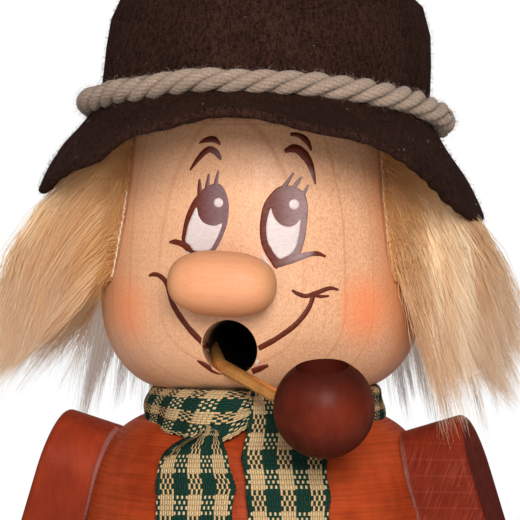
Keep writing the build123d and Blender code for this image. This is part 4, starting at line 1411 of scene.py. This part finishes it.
def makeSeams():
    for edge, tone in hairStrip["threadTones"].items():
        pale = Finish(edge + "Thread", {"Specular IOR Level": 0.25})
        fibre = pale.ramp(pale.noise((3.0, 3.0, 3.0), 2), 0.35, 0.65)
        pale.put("Base Color", pale.blend(fibre, linear(*tone), linear(*[c * 0.82 for c in tone])))
        pale.put("Roughness", pale.ramp(fibre, 0.0, 1.0, 0.6, 0.8))
        points = []
        steps = hairStrip["threadSteps"]
        for i in range(steps + 1):
            low, high = hairStrip["bare"][edge]
            height = low + (high - low) * i / steps
            sway = math.sin(2 * math.pi * height / hairStrip["stitch"]["pitch"])
            sway += 2 * noise.noise(Vector((height * 0.5, 3.3, 0.0)))
            point = headPoint(edgeAngle(edge, height) + hairStrip["sway"] * sway, height)
            points.append((point + outwards(point) * hairStrip["hem"]) * mm)
        mesh = bpy.data.meshes.new(edge + "EdgeLine")
        mesh.from_pydata(points, [(i, i + 1) for i in range(steps)], [])
        line = bpy.data.objects.new(edge + "EdgeLine", mesh)
        scene.collection.objects.link(line)
        seam = seamGrowth(pale.material).grow(line, edge + "EdgeSeam")
        bpy.data.objects.remove(line)


def makeHair():
    finishes = {name: furFinish(name, *tones) for name, tones in furTones.items()}
    for order, (name, patch) in enumerate(furPatches.items()):
        pile = patch["pile"]
        roots = furRoots(
            name + "Roots", patch["from"], patch["inset"], patch["to"], hairStrip["low"] + 0.5, pile
        )
        seed = hairStrip["seed"] + 3 * order
        growth = furGrowth(name + "Growth", patch["count"], seed, finishes[pile["finish"]], pile)
        fur = growth.grow(roots, name)
        bpy.data.objects.remove(roots)
        if "replaces" in patch:
            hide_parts(patch["replaces"])
        print(name, len(fur.data.polygons), "faces")


makeStrip()
makeSeams()
makeHair()
print("hair grown")


# Scarf: one checked ribbon round the neck, its ends hanging down the chest
# The rows of each end are the photograph's pixels

scarf = {
    "warps": 34,
    "warpPitch": 0.52,
    "weftPitch": 1.15,
    "warpsInBlock": 6,
    "weftsInBlock": 4,
    "length": 300.0,
    "sheet": 0.62,
    "warpTones": ((8, 56, 46), (206, 170, 122)),  # green and cream yarn
    "weftTones": ((6, 46, 38), (212, 184, 140)),
    "wornTone": (96, 88, 66),
    "gapShadeTone": (12, 22, 16),
    "hoodRows": ((430, 437), (448, 468)),  # pixel rows where the short end's upper corner stands off
    "rest": (
        (-1.0, 26.0), (0.0, 26.8), (3.0, 28.6), (6.0, 30.4), (9.0, 32.6), (12.0, 34.9), (16.0, 36.9),
        (20.0, 38.2), (28.6, 40.0), (36.0, 41.4), (45.0, 43.0), (52.0, 44.2),
    ),
    "longEnd": {  # pixel rows: y, left edge, right edge, how far it stands off, depth of its folds
        "rows": (
            (392, 251, 300, 0.6, 0.2), (404, 250, 312, 0.8, 0.3), (421, 248.5, 322, 0.6, 0.4),
            (440, 245, 325, 0.3, 0.5), (458, 242, 326.5, 0.3, 0.5), (478, 245.5, 327, 0.3, 0.6),
            (496, 246, 330.5, 0.3, 0.6), (520, 248.5, 329, 0.3, 0.6), (560, 250, 331, 0.3, 0.7),
            (600, 251, 334, 0.3, 0.7), (628, 252, 336, 0.3, 0.7),
        ),
        "folds": 1.6, "phase": 0.3, "start": 7.75, "hood": 0.0,
    },
    "shortEnd": {
        "rows": (
            (424, 199, 216, 0.6, 0.5), (432, 198, 219.5, 1.4, 0.8), (439, 184, 221.5, 1.9, 1.0),
            (446, 171.5, 224, 1.7, 1.0), (456, 162, 227.5, 1.1, 0.9), (471, 157.5, 230.5, 0.5, 0.8),
            (487, 155.5, 236, 0.4, 0.7), (496, 156.5, 234, 0.4, 0.6), (520, 156, 232, 0.3, 0.6),
            (560, 157, 234, 0.3, 0.7), (600, 159, 237, 0.3, 0.7), (620, 160, 238, 0.3, 0.7),
        ),
        "folds": 1.5, "phase": 2.4, "start": 0.45, "hood": 3.6,
    },
    "collarSide": ((20.7, 2.9), (21.2, 0.5), (23.2, -0.6), (24.7, 0.6), (25.3, 3.4), (25.5, 6.4)),
    "sag": 2.2,  # of the lower edge under the figure's left ear
    "gather": 1.14,
    "crumple": 1.385,  # how much wider the collar would lie flat
    "shift": 2.85,
    "bias": 8.5,
    "phase": -3.0,
    "collarKnot": ((20.9, 2.9), (21.6, 0.5), (25.6, -0.7), (29.2, -0.3), (31.7, 4.4), (33.6, 9.4)),
    "knot": (
        (-80, 0.0), (-45, 0.25), (-25, 0.7), (-12, 1.0), (-4, 1.0), (8, 0.6), (24, 0.4), (100, 0.28),
        (170, 0.0),
    ),
    "collarFrom": -352.0,
    "collarTo": 14.0,
    "collarTurn": 1.0,
    "collarStep": 0.35,
    "collarRadius": 27.5,
    "step": 0.42,
}


def clothPoint(x, y, off):  # where a sight line meets cloth that lies on the shoulders and chest
    start, direction = pixelRay(x, y)
    near, far = photoView["distance"] - 90.0, photoView["distance"]
    for _ in range(40):
        middle = (near + far) / 2
        spot = start + direction * middle
        if math.hypot(spot.x, spot.y) > keyed(scarf["rest"], headZ - spot.z) + off:
            near = middle
        else:
            far = middle
    return start + direction * near


def clothShell(name, grids, material):
    # Each grid is rows of (point, u, v); every one becomes a closed thin sheet
    points, faces, uvs = [], [], []
    half = scarf["sheet"] / 2
    for grid in grids:
        rows, across = len(grid), len(grid[0])
        first = len(points)
        normals = []
        for i in range(rows):
            for j in range(across):
                a, b = grid[max(i - 1, 0)][j][0], grid[min(i + 1, rows - 1)][j][0]
                c, d = grid[i][max(j - 1, 0)][0], grid[i][min(j + 1, across - 1)][0]
                normal = (d - c).cross(b - a).normalized()
                spot = grid[i][j][0]
                if normal.dot(outwards(spot)) < -0.3:  # faces the neck
                    normal = -normal
                normals.append(normal)
        for sign in (1, -1):
            for i in range(rows):
                for j in range(across):
                    edge = 0.35 if j in (0, across - 1) else 1.0
                    points.append(grid[i][j][0] + normals[i * across + j] * half * sign * edge)
                    uvs.append(grid[i][j][1:])
        sheetFaces(faces, first, rows, across)
    cloth = newPiece(name, points, faces, material)
    layer = cloth.data.uv_layers.new(name="clothMm")
    for loop in cloth.data.loops:
        layer.data[loop.index].uv = uvs[loop.vertex_index]
    return cloth


def frayed(v, side):  # selvedge loops, one for each weft
    turn = math.cos(2 * math.pi * v / scarf["weftPitch"])
    return 0.16 * turn + 0.22 * noise.noise(Vector((v * 0.35, side * 7.1, 0.2)))


def hangingEnd(end):
    columns = scarf["warps"] * 2
    width = scarf["warps"] * scarf["warpPitch"]
    rows = along([(r[0], 0.0) + r[1:] for r in end["rows"]], scarf["step"] / photoView["pixel"])
    grid = []
    v = end["start"]
    rising, falling = scarf["hoodRows"]
    before = None
    for y, _, left, right, off, fold in rows:
        line = []
        for j in range(columns + 1):
            s = j / columns
            swing = 0.5 + 0.5 * math.sin(2 * math.pi * end["folds"] * s + end["phase"] + 0.03 * y)
            near = smooth(y, *rising) * smooth(-y, -falling[1], -falling[0])
            hood = smooth(1 - s, 0.78, 1.0) - 0.5 * smooth(1 - abs(s - 0.42) / 0.3, 0.0, 1.0)
            hood *= end["hood"] * near
            spot = clothPoint(left + (right - left) * s, y, max(off + fold * swing * 1.5 + hood, 0.2))
            if j in (0, columns):
                side = -1 if j == 0 else 1
                spot += Vector((side, 0, 0)) * frayed(v, side)
            line.append((spot, s * width, v))
        if before:
            v += (line[columns // 2][0] - before).length
            line = [(p, u, v) for p, u, _ in line]
        before = line[columns // 2][0]
        grid.append(line)
    return grid


def collarGrid():
    width = scarf["warps"] * scarf["warpPitch"]
    columns = scarf["warps"] * 2
    angle = scarf["collarFrom"]
    side = along(scarf["collarSide"], scarf["collarStep"])
    front = along(scarf["collarKnot"], scarf["collarStep"])
    grid = []
    v = 0.0
    while angle <= scarf["collarTo"]:
        facing = angle + 360 if angle < -180 else angle
        knot = keyed(scarf["knot"], facing)
        line = []
        for j in range(columns + 1):
            s = j / columns
            a, b = side[round(s * (len(side) - 1))], front[round(s * (len(front) - 1))]
            radius = a[0] + (b[0] - a[0]) * knot
            drop = a[1] + (b[1] - a[1]) * knot
            fold = 0.35 * math.sin(2 * math.pi * (2.1 * s + 0.004 * facing)) * smooth(s, 0.25, 0.6)
            fold += 0.5 * noise.noise(Vector((facing * 0.035, s * 2.0, 1.7))) * smooth(s, 0.2, 0.6)
            lift = 2.7 * smooth(facing, -4, 14) * smooth(s, 0.5, 1.0)
            if j == columns:
                drop += frayed(v, 1)
            sag = smooth(facing, 40, 70) * smooth(-facing, -160, -120) * smooth(s, 0.55, 1.0)
            spot = spin(radius + fold - sag, facing, headZ - drop + lift - scarf["sag"] * sag)
            u = s * width * scarf["crumple"] + scarf["shift"]
            line.append((spot, u, v * scarf["gather"] + scarf["bias"] * (s - 0.4) + scarf["phase"]))
        grid.append(line)
        angle += scarf["collarTurn"]
        v += math.radians(scarf["collarTurn"]) * scarf["collarRadius"]
    return grid


def gingham(name):
    finish = Finish(name, {"Specular IOR Level": 0.08})
    place = finish.add("ShaderNodeUVMap", {"uv_map": "clothMm"})
    u = finish.add("ShaderNodeSeparateXYZ", None, {0: place}, 0)
    v = u.out(1)
    fuzz = finish.noise((2.2, 2.2, 2.2), 3, 0.6)
    u = u / scarf["warpPitch"] + (fuzz - 0.5) * 0.22
    v = v / scarf["weftPitch"] + (fuzz - 0.5) * 0.12
    warp, weft = u.op("FLOOR"), v.op("FLOOR")
    across = (u - warp - 0.5).op("ABSOLUTE")
    down = (v - weft - 0.5).op("ABSOLUTE")
    under = ((warp + weft) * 0.5).op("FRACT") * 2
    creamWarp = 1 - (((warp - 1.9) / scarf["warpsInBlock"]).op("FLOOR") * 0.5).op("FRACT") * 2
    creamWeft = 1 - (((weft + 0.1) / scarf["weftsInBlock"]).op("FLOOR") * 0.5).op("FRACT") * 2
    dot = under * finish.ramp(down + creamWeft * 0.14, 0.42, 0.48, 1.0, 0.0)
    warpColor = finish.mottled(creamWarp, scarf["warpTones"])
    weftColor = finish.mottled(creamWeft, scarf["weftTones"])
    color = finish.blend(dot, warpColor, weftColor)
    worn = finish.noise((0.5, 0.5, 0.5), 3)
    color = finish.blend(worn * 0.12, color, linear(*scarf["wornTone"]))
    # Painted shade in the gaps between yarns and where a warp dives under a weft
    gap = finish.ramp(across, 0.28, 0.5) * 0.52 + finish.ramp(down, 0.3, 0.5) * under * 0.6
    color = finish.blend(gap.op("MINIMUM", 0.85), color, linear(*scarf["gapShadeTone"]))
    finish.put("Base Color", color)
    finish.put("Roughness", finish.ramp(fuzz, 0.3, 0.7, 0.82, 0.95))
    floats = (1 - under) * (down * 2.2).op("COSINE") + dot * 0.8 * (down * 3.0).op("COSINE")
    finish.bump((across * math.pi).op("COSINE") * floats + fuzz * 0.25, 0.3, 0.9)
    return finish.material


def makeScarf():
    grids = [collarGrid(), hangingEnd(scarf["longEnd"]), hangingEnd(scarf["shortEnd"])]
    cloth = clothShell("checkedScarf", grids, gingham("checkedCotton"))
    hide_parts("scarf")


makeScarf()
print("scarf draped")


# Glue: clear beads in the creases of the arms, and leftovers at the mouth, the hair's seams and the rope,
# those at the rope near white as a painted glint

glueMarks = {
    "step": 2.0,  # pixels between rows along a mark
    "armBeads": {"from": 429, "to": 560, "step": 6, "half": 1.2, "height": 0.25},
    "lookFor": {"left_arm": (380, 440), "right_arm": (60, 140)},  # pixels between which a crease lies
    "finishes": {  # tone, least and most cover, shine and roughness
        "clearGlue": ((178, 122, 112), 0.16, 0.3, 0.25, 0.45),
        "whiteGlue": ((246, 226, 208), 0.55, 0.85, 0.6, 0.14),
        "smearedGlue": ((236, 196, 168), 0.1, 0.4, 0.6, 0.14),
        # clear glue, its near-white tone partly a painted glint
        "hatGlue": ((240, 236, 234), 0.25, 0.6, 0.6, 0.14),
    },
    "onFace": {  # pixel x, pixel y and half width in millimetres along each mark
        "mouthCrumb": ((205.5, 348.5, 0.15), (207.5, 349.5, 0.45), (209, 351.5, 0.15)),
        "mouthCrumbRight": ((258.2, 359.5, 0.15), (257.2, 362.5, 0.4), (255.4, 366.5, 0.15)),
        "threadKnot": ((114.6, 265, 0.14), (114.2, 268, 0.24), (113.6, 272, 0.22), (113, 275, 0.1)),
    },
    "seamSmear": (
        (387.5, 243, 0.2), (388.5, 250, 0.45), (389, 257, 0.35), (390.5, 266, 0.55), (394, 275, 0.2)
    ),
    "onHat": (
        ((234, 90, 0.15), (239, 90.5, 0.5), (243, 89, 0.25)),
        ((244, 88.5, 0.2), (249, 89, 0.45), (252, 90.5, 0.12)),
    ),
}


def beadMesh(points, faces, rows):  # a rounded bead along rows of spot, normal, half width and height
    sides = 8
    first = len(points)
    for i, (spot, normal, half, height) in enumerate(rows):
        run = (rows[min(i + 1, len(rows) - 1)][0] - rows[max(i - 1, 0)][0]).normalized()
        across = run.cross(normal).normalized()
        for k in range(sides):
            turn = 2 * math.pi * k / sides
            points.append(spot + across * half * math.cos(turn) + normal * height * math.sin(turn))
    tubeFaces(faces, first, len(rows), sides)


def glueFinish(name):
    tone, least, most, shine, rough = glueMarks["finishes"][name]
    finish = Finish(name, {"Specular IOR Level": shine, "IOR": 1.48})
    cloud = finish.ramp(finish.noise((0.5, 0.5, 0.25), 2), 0.3, 0.7)
    finish.put("Base Color", finish.blend(cloud, linear(*tone), linear(*[c * 0.9 for c in tone])))
    finish.put("Roughness", finish.ramp(cloud, 0.0, 1.0, rough, rough + 0.16))
    finish.put("Alpha", finish.ramp(cloud, 0.0, 1.0, least, most))
    return finish.material


def armCrease(arm, torso, y, reach):  # where a row of sight lines goes over from the arm to the torso
    found = None
    last = None
    kinds = ((arm, "arm"), (torso, "torso"))
    for step in range((reach[1] - reach[0]) * 2 + 1):
        start, direction = pixelRay(reach[0] + step / 2, y)
        hits = [(surface.ray_cast(start, direction), kind) for surface, kind in kinds]
        hits = [(hit[3], kind, hit[0]) for hit, kind in hits if hit[0] is not None]
        nearest = min(hits) if hits else None
        if nearest and last and nearest[1] != last[1]:
            found = (nearest[2] + last[2]) / 2 - direction * glueMarks["armBeads"]["height"] * 0.3
        last = nearest
    return found


def faceBead(points, faces, line, share):
    rows = along(line, glueMarks["step"])
    beadMesh(points, faces, [(*onHead(x, y), half, half * share) for x, y, half in rows])


def makeGlue():
    beads = glueMarks["armBeads"]
    torso = surfaceOf(nodes["torso"])
    facing = viewAxes()[2]
    points, faces = [], []
    for name, reach in glueMarks["lookFor"].items():
        arm = surfaceOf(nodes[name])
        rows = []
        for y in range(beads["from"], beads["to"], beads["step"]):
            spot = armCrease(arm, torso, y, reach)
            if spot:
                thick = beads["half"] * (0.45 + 0.55 * smooth(y, beads["to"] - 40, beads["from"] + 8))
                rows.append((spot, facing, thick, beads["height"]))
        print(name, "crease rows", len(rows))
        beadMesh(points, faces, rows)
    newPiece("armGlue", points, faces, glueFinish("clearGlue"))
    points, faces = [], []
    for line in glueMarks["onFace"].values():
        faceBead(points, faces, line, 0.7)
    newPiece("faceGlue", points, faces, glueFinish("whiteGlue"))
    points, faces = [], []
    faceBead(points, faces, glueMarks["seamSmear"], 0.5)
    newPiece("seamGlue", points, faces, glueFinish("smearedGlue"))
    points, faces = [], []
    felt = surfaceOf(bpy.data.objects["feltHat"])
    for line in glueMarks["onHat"]:
        rows = []
        for x, y, half in along(line, glueMarks["step"]):
            spot, normal = felt.ray_cast(*pixelRay(x, y))[:2]
            rows.append((spot, normal, half, half * 0.6))
        beadMesh(points, faces, rows)
    newPiece("hatGlue", points, faces, glueFinish("hatGlue"))


makeGlue()
print("glue marked")
